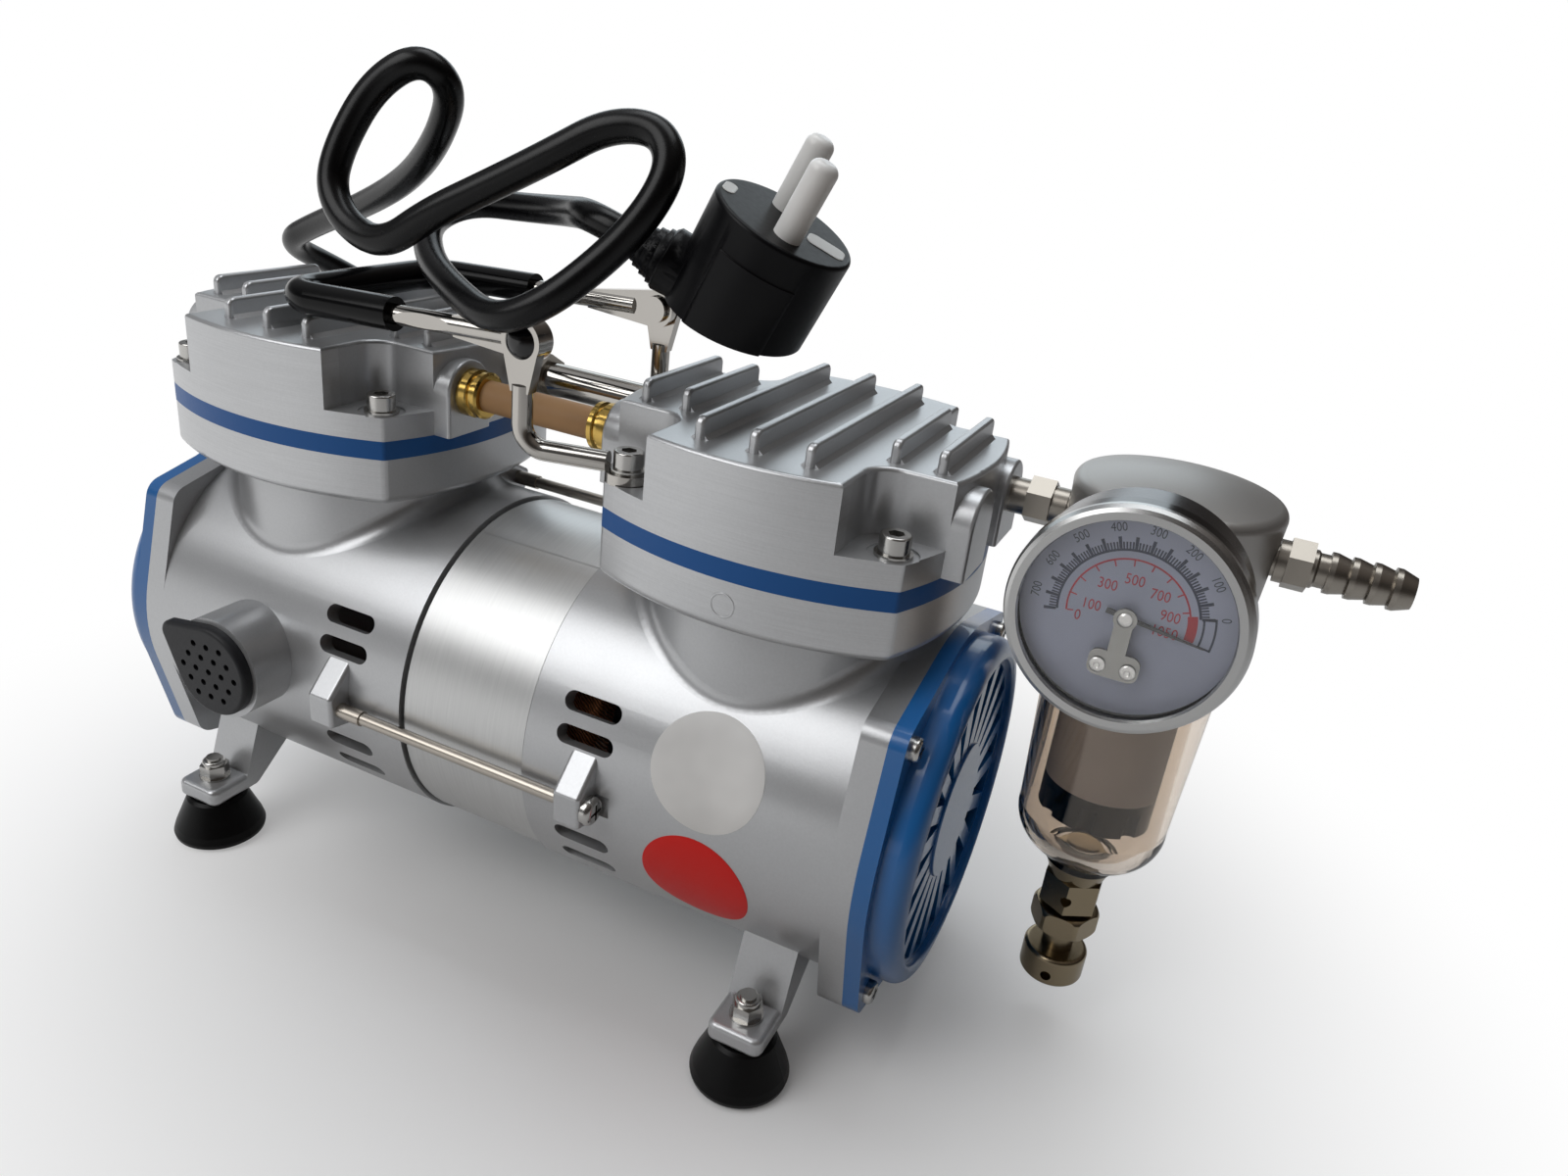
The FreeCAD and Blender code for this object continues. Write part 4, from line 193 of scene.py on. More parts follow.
# Earth strips in the plug's face: their ends by reach towards the arm, and their section as rise and inset
EARTH_STRIPS = ((-17.6, -6.6), (15.0, 18.6))
EARTH_STRIP_HALF = 3.8
EARTH_STRIP_CORNER = 2.2
EARTH_STRIP_CORNER_STEPS = 6
EARTH_STRIP_SECTION = ((-0.3, 0.0), (0.12, 0.0), (0.22, 0.25))

# Camera; it sees from the first to the second clip distance, in metres
CAMERA_PLACE = (200.6, -295.58, 278.74)
CAMERA_RIGHT = (0.89934579, 0.42215739, 0.11384323)
CAMERA_UP = (-0.27059971, 0.33287832, 0.90330937)
CAMERA_BACK = (0.34344279, -0.84319343, 0.41360839)
PHOTO_WIDTH = 1600
FOCAL_PIXELS = 1153.4
SENSOR_WIDTH = 36.0
CAMERA_CLIP = (0.01, 20.0)

# Mains cord, with its length in metres
CORD_DIAMETER = 8.6
CORD_EXIT = (-96, 68, 92)
CORD_ROUTE = (
    CORD_EXIT, (-96, 92, 92), (-108, 112, 112), (-128, 108, 142), (-146, 88, 168), (-160, 62, 185),
    (-160, 36, 197), (-136, 31, 208), (-101, 18, 220), (-67, 3, 234), (-43, -11, 249), (-30, -20, 264),
    (-36, -27, 271), (-49, -31, 262), (-56, -37, 246), (-57, -41, 234), (-48, -44, 225), (-33, -46, 222),
    (-18, -44, 233), (-2, -40, 242), (15, -36, 252), (29, -32, 261), (42, -29, 262), (49, -32, 255),
    (47, -37, 244), (38, -42, 231), (25, -51, 217), (10, -53, 210), (-12, -42, 213), (-34, -27, 217),
    (-50, -9, 224), (-45, 5, 230), (-19, 1, 232), (4, -10, 235), (23.61, -29.5, 238.14),
    (33.93, -25.72, 233.32))
CORD_STEPS = 10
CORD_ROUNDING = 8

# Strain relief where the cord leaves the gland; it starts a hair out, and its bore bites into the cord
RELIEF_START = 0.01
RELIEF_BITE = 0.2
RELIEF_LENGTH = 30.0
RELIEF_ENDS = (7.0, 4.9)
RELIEF_RIBS = 6
RELIEF_GROOVE = 0.7
RELIEF_GROOVE_FADE = 0.5
RELIEF_STEPS = 60
RELIEF_SIDES = 32


def place(x, y, z):
    """Point of the model's frame, in metres, from millimetres measured from the motor's centre."""
    return Vector((x, y, z)) * MM + FRAME_SHIFT


# Shader helpers

class Material:
    """A node material with its Principled shader and short ways to add nodes."""

    def __init__(self, name, color, roughness, metallic=0.0):
        self.data = bpy.data.materials.new(name)
        self.data.use_nodes = True
        self.nodes = self.data.node_tree.nodes
        self.links = self.data.node_tree.links
        self.shader = self.nodes["Principled BSDF"]
        self.set("Base Color", (*color, 1.0))
        self.set("Roughness", roughness)
        self.set("Metallic", metallic)

    def set(self, socket, value):
        """Sets a plain value on the shader's own socket."""
        self.shader.inputs[socket].default_value = value

    def add(self, kind, **settings):
        """New node of a kind, with its settings."""
        node = self.nodes.new(kind)
        for key, value in settings.items():
            setattr(node, key, value)
        return node

    def effect(self, group, **values):
        """Places a shared node group with this material's own values."""
        node = self.add("ShaderNodeGroup", node_tree=group)
        for key, value in values.items():
            node.inputs[key.replace("_", " ")].default_value = value
        return node

    def link(self, source, target):
        """Joins two sockets."""
        self.links.new(source, target)

    def tint(self, mask, color_a, color_b):
        """Base colour that goes from one colour to another with a mask."""
        mix = self.add("ShaderNodeMix", data_type="RGBA")
        mix.inputs["A"].default_value = (*color_a, 1.0)
        mix.inputs["B"].default_value = (*color_b, 1.0)
        self.link(mask, mix.inputs["Factor"])
        self.link(mix.outputs["Result"], self.shader.inputs["Base Color"])

    def vary_roughness(self, mask, start, end):
        """Roughness that goes from start to end with a mask."""
        span = self.add("ShaderNodeMapRange")
        span.inputs["To Min"].default_value = start
        span.inputs["To Max"].default_value = end
        self.link(mask, span.inputs["Value"])
        self.link(span.outputs["Result"], self.shader.inputs["Roughness"])

    def bump(self, height, distance, strength):
        """Fine relief from a height mask; the distance is in metres."""
        node = self.add("ShaderNodeBump")
        node.inputs["Strength"].default_value = strength
        node.inputs["Distance"].default_value = distance
        self.link(height, node.inputs["Height"])
        self.link(node.outputs["Normal"], self.shader.inputs["Normal"])


def new_group(name, inputs, outputs):
    """Empty node group with named float inputs and outputs; gives the tree and its two end nodes."""
    tree = bpy.data.node_groups.new(name, "ShaderNodeTree")
    for label, value in inputs:
        socket = tree.interface.new_socket(label, in_out="INPUT", socket_type="NodeSocketFloat")
        socket.default_value = value
    for label in outputs:
        tree.interface.new_socket(label, in_out="OUTPUT", socket_type="NodeSocketFloat")
    return tree, tree.nodes.new("NodeGroupInput"), tree.nodes.new("NodeGroupOutput")


def object_point(tree):
    """Place on the surface, in metres, in the model's frame."""
    return tree.nodes.new("ShaderNodeTexCoord").outputs["Object"]


def math_node(tree, operation, a, b=None):
    """Math node whose operands are sockets or numbers."""
    node = tree.nodes.new("ShaderNodeMath")
    node.operation = operation
    for socket, value in zip(node.inputs, (a, b)):
        if value is None:
            continue
        if isinstance(value, (int, float)):
            socket.default_value = value
        else:
            tree.links.new(value, socket)
    return node.outputs[0]


def noise_node(tree, vector, scale, detail):
    """Noise whose scale is a socket or a number."""
    node = tree.nodes.new("ShaderNodeTexNoise")
    node.inputs["Detail"].default_value = detail
    tree.links.new(vector, node.inputs["Vector"])
    if isinstance(scale, (int, float)):
        node.inputs["Scale"].default_value = scale
    else:
        tree.links.new(scale, node.inputs["Scale"])
    return node.outputs["Fac"]


def grain_group():
    """Fine even grain, such as paint flake or a moulded surface: Height and a soft Cloud mask."""
    scales = [("Grain Scale", 900.0), ("Cloud Scale", 30.0)]
    tree, start, end = new_group("surface grain", scales, ["Height", "Cloud"])
    point = object_point(tree)
    tree.links.new(noise_node(tree, point, start.outputs["Grain Scale"], detail=3.0), end.inputs["Height"])
    tree.links.new(noise_node(tree, point, start.outputs["Cloud Scale"], detail=2.0), end.inputs["Cloud"])
    return tree


def brushing_group():
    """Fine level lines left by a cutter: noise stretched along X and Y."""
    tree, start, end = new_group("level brushing", [("Line Scale", 1400.0)], ["Lines"])
    mapping = tree.nodes.new("ShaderNodeMapping")
    mapping.inputs["Scale"].default_value = (0.02, 0.02, 1.0)
    tree.links.new(object_point(tree), mapping.inputs["Vector"])
    lines = noise_node(tree, mapping.outputs["Vector"], start.outputs["Line Scale"], detail=4.0)
    tree.links.new(lines, end.inputs["Lines"])
    return tree


def machined_group():
    """Mask of the heads' machined front and rear faces."""
    places = [("Face Y", MACHINED_Y * MM), ("Face Z", HEAD_BASE_Z * MM)]
    tree, start, end = new_group("machined faces", places, ["Mask"])
    split = tree.nodes.new("ShaderNodeSeparateXYZ")
    tree.links.new(object_point(tree), split.inputs["Vector"])
    off_axis = math_node(tree, "ABSOLUTE", math_node(tree, "SUBTRACT", split.outputs["Y"], FRAME_SHIFT.y))
    outside = math_node(tree, "GREATER_THAN", off_axis, start.outputs["Face Y"])
    high = math_node(tree, "GREATER_THAN", split.outputs["Z"], start.outputs["Face Z"])
    facing = tree.nodes.new("ShaderNodeSeparateXYZ")
    tree.links.new(tree.nodes.new("ShaderNodeTexCoord").outputs["Normal"], facing.inputs["Vector"])
    upright = math_node(tree, "LESS_THAN", math_node(tree, "ABSOLUTE", facing.outputs["Z"]), MACHINED_SLOPE)
    mask = math_node(tree, "MULTIPLY", math_node(tree, "MULTIPLY", outside, high), upright)
    tree.links.new(mask, end.inputs["Mask"])
    return tree


GRAIN = grain_group()
BRUSHING = brushing_group()
MACHINED = machined_group()


def cast_silver():
    """Silver hammer-fine paint on the castings, with machined brushed faces on the heads."""
    made = Material("cast silver paint", (0.50, 0.51, 0.52), roughness=0.33, metallic=0.68)
    grain = made.effect(GRAIN, Grain_Scale=1300.0, Cloud_Scale=20.0)
    lines = made.effect(BRUSHING, Line_Scale=2600.0)
    faces = made.effect(MACHINED)
    tree = made.data.node_tree
    streaks = math_node(tree, "MULTIPLY", lines.outputs["Lines"], faces.outputs["Mask"])
    flecks = math_node(tree, "MULTIPLY", grain.outputs["Height"], GRAIN_TONE)
    tone = math_node(tree, "ADD", flecks, math_node(tree, "MULTIPLY", streaks, LINE_TONE))
    made.tint(tone, (0.45, 0.457, 0.467), (0.60, 0.61, 0.622))
    made.vary_roughness(grain.outputs["Cloud"], start=0.28, end=0.38)
    ridges = math_node(tree, "MULTIPLY", streaks, LINE_RELIEF)
    made.bump(math_node(tree, "ADD", grain.outputs["Height"], ridges), distance=0.00003, strength=0.6)
    return made.data


def painted(name, color, deep, roughness, coat=0.0):
    """Smooth paint with slight clouding and orange peel."""
    made = Material(name, color, roughness)
    grain = made.effect(GRAIN, Grain_Scale=700.0, Cloud_Scale=18.0)
    made.tint(grain.outputs["Cloud"], deep, color)
    made.vary_roughness(grain.outputs["Height"], *(roughness * share for share in PAINT_SPREAD))
    made.bump(grain.outputs["Height"], distance=0.000006, strength=0.3)
    made.set("Coat Weight", coat)
    made.set("Coat Roughness", 0.08)
    made.set("Specular IOR Level", 0.35)
    return made.data


def bare_metal(name, color, roughness, dark, grain_scale=600.0):
    """Plated or machined metal with soft variation in tone and gloss."""
    made = Material(name, color, roughness, metallic=1.0)
    grain = made.effect(GRAIN, Grain_Scale=grain_scale, Cloud_Scale=60.0)
    made.tint(grain.outputs["Cloud"], tuple(c * dark for c in color), color)
    made.vary_roughness(grain.outputs["Cloud"], *(roughness * share for share in ROUGHNESS_SPREAD))
    made.bump(grain.outputs["Height"], distance=0.0000015, strength=0.3)
    return made.data


def foil_finish():
    """Thin satin foil with faint lines round the motor."""
    made = Material("satin foil wrap", (0.52, 0.53, 0.535), roughness=0.36, metallic=0.75)
    tree = made.data.node_tree
    stretch = made.add("ShaderNodeMapping")
    stretch.inputs["Scale"].default_value = (1.0, 0.03, 0.03)
    made.link(object_point(tree), stretch.inputs["Vector"])
    lines = noise_node(tree, stretch.outputs["Vector"], scale=1800.0, detail=3.0)
    made.tint(lines, (0.52, 0.525, 0.525), (0.64, 0.645, 0.64))
    made.vary_roughness(lines, start=0.32, end=0.40)
    made.bump(lines, distance=0.000004, strength=0.3)
    return made.data


def satin_zinc():
    """Fine satin plating on the filter head, with soft clouding."""
    made = Material("filter head zinc", (0.38, 0.37, 0.36), roughness=0.38, metallic=0.7)
    grain = made.effect(GRAIN, Grain_Scale=1600.0, Cloud_Scale=40.0)
    made.tint(grain.outputs["Cloud"], (0.36, 0.35, 0.34), (0.43, 0.42, 0.405))
    made.vary_roughness(grain.outputs["Height"], start=0.34, end=0.44)
    made.bump(grain.outputs["Height"], distance=0.00001, strength=0.3)
    return made.data


def rolled_bezel():
    """Satin rolled rim in front, darker polished band behind it."""
    made = Material("rolled bezel steel", (0.55, 0.55, 0.55), roughness=0.24, metallic=1.0)
    tree = made.data.node_tree
    grain = made.effect(GRAIN, Grain_Scale=400.0, Cloud_Scale=50.0)
    split = made.add("ShaderNodeSeparateXYZ")
    made.link(object_point(tree), split.inputs["Vector"])
    band = made.add("ShaderNodeMapRange")
    band_y = BEZEL_FRONT_Y + BEZEL_RIM
    band.inputs["From Min"].default_value = band_y * MM + FRAME_SHIFT.y
    band.inputs["From Max"].default_value = (band_y + BEZEL_BLEND) * MM + FRAME_SHIFT.y
    made.link(split.outputs["Y"], band.inputs["Value"])
    made.tint(band.outputs["Result"], (0.50, 0.50, 0.495), (0.07, 0.07, 0.072))
    made.vary_roughness(band.outputs["Result"], start=0.27, end=0.16)
    made.bump(grain.outputs["Height"], distance=0.000008, strength=0.3)
    return made.data


def moulded(name, color, roughness, grain_scale=1200.0, bump=0.00003, gloss=0.5):
    """Moulded rubber or plastic with a fine grain."""
    made = Material(name, color, roughness)
    made.set("Specular IOR Level", gloss)
    grain = made.effect(GRAIN, Grain_Scale=grain_scale, Cloud_Scale=45.0)
    deep, pale = (tuple(min(1.0, c * share) for c in color) for share in MOULDED_TONE)
    made.tint(grain.outputs["Cloud"], deep, pale)
    made.vary_roughness(grain.outputs["Height"], *(roughness * share for share in ROUGHNESS_SPREAD))
    made.bump(grain.outputs["Height"], distance=bump, strength=0.5)
    return made.data


def clear(name, color, roughness, ior):
    """Clear plastic or glass."""
    made = Material(name, color, roughness)
    made.set("Transmission Weight", 1.0)
    made.set("IOR", ior)
    made.set("Specular IOR Level", 0.25)
    grain = made.effect(GRAIN, Grain_Scale=25.0, Cloud_Scale=12.0)
    made.bump(grain.outputs["Height"], distance=0.00004, strength=0.2)
    return made.data


def laminations():
    """Stacked sheet steel: fine rings across the shaft."""
    made = Material("stacked laminations", (0.45, 0.45, 0.46), roughness=0.4, metallic=1.0)
    wave = made.add("ShaderNodeTexWave", bands_direction="X")
    wave.inputs["Scale"].default_value = 600.0
    made.link(object_point(made.data.node_tree), wave.inputs["Vector"])
    made.tint(wave.outputs["Fac"], (0.20, 0.20, 0.21), (0.5, 0.5, 0.51))
    made.bump(wave.outputs["Fac"], distance=0.0001, strength=0.5)
    return made.data


def copper_winding():
    """Enamelled wire laid in bundles."""
    made = Material("enamelled copper", (0.45, 0.16, 0.06), roughness=0.35, metallic=0.6)
    wave = made.add("ShaderNodeTexWave", bands_direction="DIAGONAL")
    wave.inputs["Scale"].default_value = 420.0
    wave.inputs["Distortion"].default_value = 4.0
    made.link(object_point(made.data.node_tree), wave.inputs["Vector"])
    made.tint(wave.outputs["Fac"], (0.16, 0.05, 0.02), (0.55, 0.22, 0.09))
    made.bump(wave.outputs["Fac"], distance=0.0003, strength=0.8)
    return made.data


def finishes():
    """Material of each kind, by a plain name."""
    return {
        "silver": cast_silver(),
        "plate blue": painted("satin blue paint", (0.008, 0.105, 0.36), (0.006, 0.085, 0.30), roughness=0.42),
        "cover blue": painted("gloss blue paint", (0.016, 0.150, 0.44), (0.011, 0.120, 0.37),
                              roughness=0.30, coat=0.5),
        "foil": foil_finish(),
        "steel": bare_metal("bright screw steel", (0.52, 0.51, 0.49), roughness=0.22, dark=0.8),
        "rod steel": bare_metal("rolled rod steel", (0.46, 0.42, 0.37),
                                roughness=0.30, dark=0.85, grain_scale=900.0),
        "chrome": bare_metal("handle chrome", (0.47, 0.45, 0.42),
                             roughness=0.10, dark=0.92, grain_scale=300.0),
        "bezel steel": rolled_bezel(),
        "bridge steel": bare_metal("gauge bridge steel", (0.24, 0.235, 0.22),
                                   roughness=0.28, dark=0.8, grain_scale=900.0),
        "case steel": bare_metal("drawn case steel", (0.16, 0.16, 0.165),
                                 roughness=0.24, dark=0.85, grain_scale=400.0),
        "nickel": bare_metal("fitting nickel", (0.36, 0.33, 0.29), roughness=0.30, dark=0.8),
        "pale strip": moulded("earth strip satin", (0.62, 0.62, 0.60), roughness=0.35),
        "warm nickel": bare_metal("drain nickel", (0.33, 0.27, 0.18), roughness=0.25, dark=0.7),
        "brass": bare_metal("connector brass", (0.60, 0.40, 0.11), roughness=0.2, dark=0.75),
        "aluminium": bare_metal("turned aluminium", (0.60, 0.60, 0.61), roughness=0.3, dark=0.85),
        "laminations": laminations(),
        "copper": copper_winding(),
        "rubber": moulded("foot rubber", (0.002, 0.002, 0.0022),
                          roughness=0.34, grain_scale=900.0, bump=0.000006, gloss=0.16),
        "black plastic": moulded("black moulding", (0.003, 0.003, 0.0035), roughness=0.30, gloss=0.2),
        "cap black": moulded("pivot cap gloss", (0.004, 0.004, 0.005),
                             roughness=0.12, grain_scale=600.0, bump=0.000002, gloss=0.6),
        "plug": moulded("plug moulding", (0.0012, 0.0012, 0.002),
                        roughness=0.36, grain_scale=700.0, bump=0.000004, gloss=0.16),
        "breather": moulded("breather moulding", (0.012, 0.0125, 0.015), roughness=0.46, gloss=0.3),
        "grip": moulded("grip sleeve", (0.0015, 0.0015, 0.0018),
                        roughness=0.17, grain_scale=600.0, bump=0.000002, gloss=0.14),
        "cord": moulded("cord jacket", (0.0010, 0.0010, 0.0014),
                        roughness=0.28, grain_scale=900.0, bump=0.0000015, gloss=0.24),
        "pale plastic": moulded("pin sleeve moulding", (0.88, 0.87, 0.83), roughness=0.32),
        "tan tube": moulded("fibre tube", (0.48, 0.27, 0.12), roughness=0.55, grain_scale=500.0, bump=0.0001),
        "seal": moulded("seal moulding", (0.4, 0.34, 0.25), roughness=0.5),
        "zinc": satin_zinc(),
        "bowl": clear("clear bowl", (0.70, 0.62, 0.54), roughness=0.03, ior=1.49),
        "glass": clear("gauge glass", (1.0, 1.0, 1.0), roughness=0.0, ior=1.45),
        "element": moulded("filter element", (0.90, 0.88, 0.95),
                           roughness=0.75, grain_scale=1500.0, bump=0.00003),
        "dial": moulded("dial face", (0.42, 0.45, 0.58), roughness=0.4, grain_scale=2000.0, bump=0.000005),
        "navy print": moulded("dial print navy", (0.012, 0.020, 0.055), roughness=0.5, gloss=0.2),
        "grey print": moulded("dial print grey", (0.035, 0.045, 0.08), roughness=0.5, gloss=0.2),
        "red print": moulded("dial print red", (0.52, 0.02, 0.035), roughness=0.5, gloss=0.2),
        "needle": moulded("needle black", (0.01, 0.01, 0.012), roughness=0.35),
        "label red": painted("red label film", (0.80, 0.010, 0.006), (0.72, 0.008, 0.005), roughness=0.45),
        "label silver": moulded("pale label film", (0.80, 0.80, 0.79),
                                roughness=0.42, grain_scale=1500.0, bump=0.000003),
    }


NODE_FINISH = {
    "silver": ("housing_left", "housing_right", "head_cover_left", "head_cover_right"),
    "plate blue": ("valve_plate_left", "valve_plate_right"),
    "cover blue": ("end_cover_left", "end_cover_right"),
    "foil": ("stator_core",),
    "steel": ("end_cover_screws", "tie_rod_screws", "head_screws", "foot_bolts", "motor_shaft",
              "shaft_bearings", "reed_valves"),
    "rod steel": ("tie_rods",),
    "chrome": ("handle_bracket_front", "handle_bracket_rear", "handle_bail", "handle_pivots", "rear_line"),
    "bezel steel": ("gauge_bezel",),
    "bridge steel": ("gauge_bridge",),
    "case steel": ("gauge_case",),
    "nickel": ("rear_line_nuts", "inlet_nipple", "hose_barb"),
    "warm nickel": ("drain_body", "drain_knob"),
    "brass": ("crossover_connectors",),
    "aluminium": ("crank_left", "crank_right", "con_rod_left", "con_rod_right", "cylinder_liner_left",
                  "cylinder_liner_right"),
    "laminations": ("rotor_core",),
    "copper": ("stator_windings",),
    "rubber": ("rubber_feet",),
    "black plastic": ("fan_left", "fan_right", "filter_baffle", "cord_gland"),
    "cap black": ("pivot_caps",),
    "needle": ("gauge_pointer",),
    "breather": ("breather_cap",),
    "grip": ("handle_grip",),
    "pale plastic": ("plug_pins",),
    "tan tube": ("crossover_sleeve",),
    "seal": ("piston_left", "piston_right"),
    "zinc": ("filter_head",),
    "bowl": ("filter_bowl",),
    "glass": ("gauge_glass",),
    "element": ("filter_element",),
    "dial": ("gauge_dial",),
}


def dress(frame, finish):
    """Gives each carried-over solid its finish."""
    for name, nodes in NODE_FINISH.items():
        for node in nodes:
            mesh = frame["nodes"][node].data
            mesh.materials.clear()
            mesh.materials.append(finish[name])


def mains_cord(finish):
    """The free mains cord: from the gland, in two loose loops over the handle, to the plug."""
    curve = bpy.data.curves.new("mains_cord", "CURVE")
    curve.dimensions = "3D"
    spline = curve.splines.new("NURBS")
    spline.points.add(len(CORD_ROUTE) - 1)
    for target, spot in zip(spline.points, CORD_ROUTE):
        target.co = (*place(*spot), 1.0)
    spline.order_u = 3
    spline.use_endpoint_u = True
    spline.resolution_u = CORD_STEPS
    curve.bevel_depth = CORD_DIAMETER / 2 * MM
    curve.bevel_resolution = CORD_ROUNDING
    curve.use_fill_caps = True
    cord = bpy.data.objects.new("mains_cord", curve)
    bpy.context.collection.objects.link(cord)
    curve.materials.append(finish["cord"])
    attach(cord, "pump")
    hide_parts("power_cord")
    return cord


# Small pieces in mesh code

def mesh_piece(name, shape, material):
    """Piece of the pump from a bmesh, with its material."""
    mesh = bpy.data.meshes.new(name)
    shape.to_mesh(mesh)
    shape.free()
    mesh.materials.append(material)
    piece = bpy.data.objects.new(name, mesh)
    bpy.context.collection.objects.link(piece)
    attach(piece, "pump")
    return piece


def smooth(piece):
    """Smooth shading with crisp edges."""
    for face in piece.data.polygons:
        face.use_smooth = True
    piece.data.set_sharp_from_angle(angle=SHARP_ANGLE)
    return piece


def grid(shape, rows, closed=False):
    """Joins rows of points into a surface, and closes it round when asked."""
    verts = [[shape.verts.new(spot) for spot in row] for row in rows]
    turns = len(rows[0]) if closed else len(rows[0]) - 1
    for lower, upper in zip(verts, verts[1:]):
        for k in range(turns):
            nxt = (k + 1) % len(lower)
            shape.faces.new((lower[k], lower[nxt], upper[nxt], upper[k]))
    return verts


def on_barrel(x, arc, lift):
    """Point on the housings' barrel, by its distance round from the front at shaft height."""
    angle = arc / HOUSING_R
    radius = HOUSING_R + lift
    return place(x, -radius * math.cos(angle), SHAFT_Z + radius * math.sin(angle))


def label_film(name, arc, material):
    """Bare round film that follows the barrel, with a thin rim."""
    shape = bmesh.new()
    turns = [2 * math.pi * k / LABEL_SIDES for k in range(LABEL_SIDES)]
    rows = []
    for reach, rise in LABEL_SECTION:
        radius = LABEL_R * reach
        lift = LABEL_FILM * rise
        spots = [(LABEL_X + radius * math.cos(t), arc + radius * math.sin(t)) for t in turns]
        rows.append([on_barrel(*spot, lift) for spot in spots])
    last = grid(shape, rows, closed=True)[-1]
    shape.faces.new(last)
    bmesh.ops.recalc_face_normals(shape, faces=shape.faces)
    return smooth(mesh_piece(name, shape, material))


def head_front_y(x):
    """Front of the right head's base: an arc through its two corners and its middle."""
    half, corner = HEAD_CORNER
    bulge = HEAD_REACH_Y - corner
    radius = (half * half + bulge * bulge) / (2 * bulge)
    return -(HEAD_REACH_Y - radius + math.sqrt(radius * radius - (x - HEAD_X) ** 2))


def foundry_mark(finish):
    """Fine raised ring cast into the front of the right head's base."""
    shape = bmesh.new()
    rows = []
    for k in range(MARK_SIDES + 1):
        turn = 2 * math.pi * k / MARK_SIDES
        row = []
        for j in range(MARK_SECTION_SIDES):
            across = 2 * math.pi * j / MARK_SECTION_SIDES
            reach = MARK_R + MARK_LINE * math.cos(across)
            x = MARK_SPOT[0] + reach * math.cos(turn)
            z = MARK_SPOT[1] + reach * math.sin(turn)
            row.append(place(x, head_front_y(x) - MARK_LINE * 0.5 * math.sin(across), z))
        rows.append(row)
    grid(shape, rows, closed=True)
    bmesh.ops.remove_doubles(shape, verts=shape.verts, dist=WELD)
    bmesh.ops.recalc_face_normals(shape, faces=shape.faces)
    return smooth(mesh_piece("foundry_mark", shape, finish["silver"]))


def foil_wrap(finish):
    """Satin foil round the motor, with its overlapped seam near the top."""
    shape = bmesh.new()
    last = FOIL_STEPS + FOIL_OVERLAP_STEPS
    x0, x1 = FOIL_X
    rows = []
    for x, proud in ((x0, 0), (x0, 1), (x0 + FOIL_EDGE, 1), (x1 - FOIL_EDGE, 1), (x1, 1), (x1, 0)):
        row = []
        for k in range(last + 1):
            angle = math.radians(FOIL_SEAM_ANGLE) + 2 * math.pi * k / FOIL_STEPS
            lap = FOIL_THICKNESS * k / last
            radius = FOIL_R + FOIL_GAP + lap + FOIL_THICKNESS * proud
            row.append(place(x, radius * math.cos(angle), SHAFT_Z + radius * math.sin(angle)))
        rows.append(row)
    grid(shape, rows)
    bmesh.ops.recalc_face_normals(shape, faces=shape.faces)
    return smooth(mesh_piece("foil_wrap", shape, finish["foil"]))


# Dial print

def on_dial(radius, angle):
    """Point of the print, by its distance and angle round the dial's middle."""
    turn = math.radians(angle)
    return place(GAUGE_X + radius * math.cos(turn), DIAL_Y - DIAL_LIFT, GAUGE_Z + radius * math.sin(turn))


def arc_strip(shape, inner, outer, start, end):
    """Printed strip between two radii, from one angle to another."""
    steps = max(1, int(abs(end - start) / ARC_STEP))
    angles = [start + (end - start) * k / steps for k in range(steps + 1)]
    grid(shape, [[on_dial(inner, a) for a in angles], [on_dial(outer, a) for a in angles]])


def tick(shape, inner, outer, angle, width):
    """Short radial line."""
    half = math.degrees(width / (inner + outer))
    arc_strip(shape, inner, outer, angle + half, angle - half)


def red_angle(value):
    """Angle of a value on the inner scale."""
    return SCALE_START - RED_SWEEP * value / RED_RANGE


def navy_angle(value):
    """Angle of a value on the outer scale, which runs the other way."""
    return SCALE_START - NAVY_SWEEP * (NAVY_RANGE - value) / NAVY_RANGE


def red_scale(finish):
    """Inner scale: an arc with ticks, and a thick block at its end."""
    shape = bmesh.new()
    arc_strip(shape, *RED_LINE, red_angle(0), red_angle(RED_BLOCK_FROM))
    arc_strip(shape, *RED_BLOCK, red_angle(RED_BLOCK_FROM), red_angle(RED_RANGE))
    for value in range(0, RED_BLOCK_FROM, RED_TICK_EVERY):
        tick(shape, RED_TICK_IN, RED_LINE[0], red_angle(value), RED_TICK_WIDTH)
    return mesh_piece("dial_red_scale", shape, finish["red print"])


def navy_scale(finish):
    """Outer scale: an arc with long and short ticks, and a frame at its zero."""
    shape = bmesh.new()
    arc_strip(shape, *NAVY_LINE, navy_angle(NAVY_RANGE), navy_angle(0))
    for value in range(0, NAVY_RANGE + 1, NAVY_SHORT_EVERY):
        if value % NAVY_LONG_EVERY == 0:
            tick(shape, NAVY_LINE[1], NAVY_LONG_TICK, navy_angle(value), NAVY_LONG_WIDTH)
        else:
            tick(shape, NAVY_LINE[1], NAVY_SHORT_TICK, navy_angle(value), NAVY_SHORT_WIDTH)
    inner, outer = NAVY_FRAME
    half = NAVY_FRAME_LINE / 2
    for reach in NAVY_FRAME:
        arc_strip(shape, reach - half, reach + half, *NAVY_FRAME_ANGLES)
    for angle in NAVY_FRAME_ANGLES:
        tick(shape, inner - half, outer + half, angle, NAVY_FRAME_LINE)
    return mesh_piece("dial_navy_scale", shape, finish["navy print"])


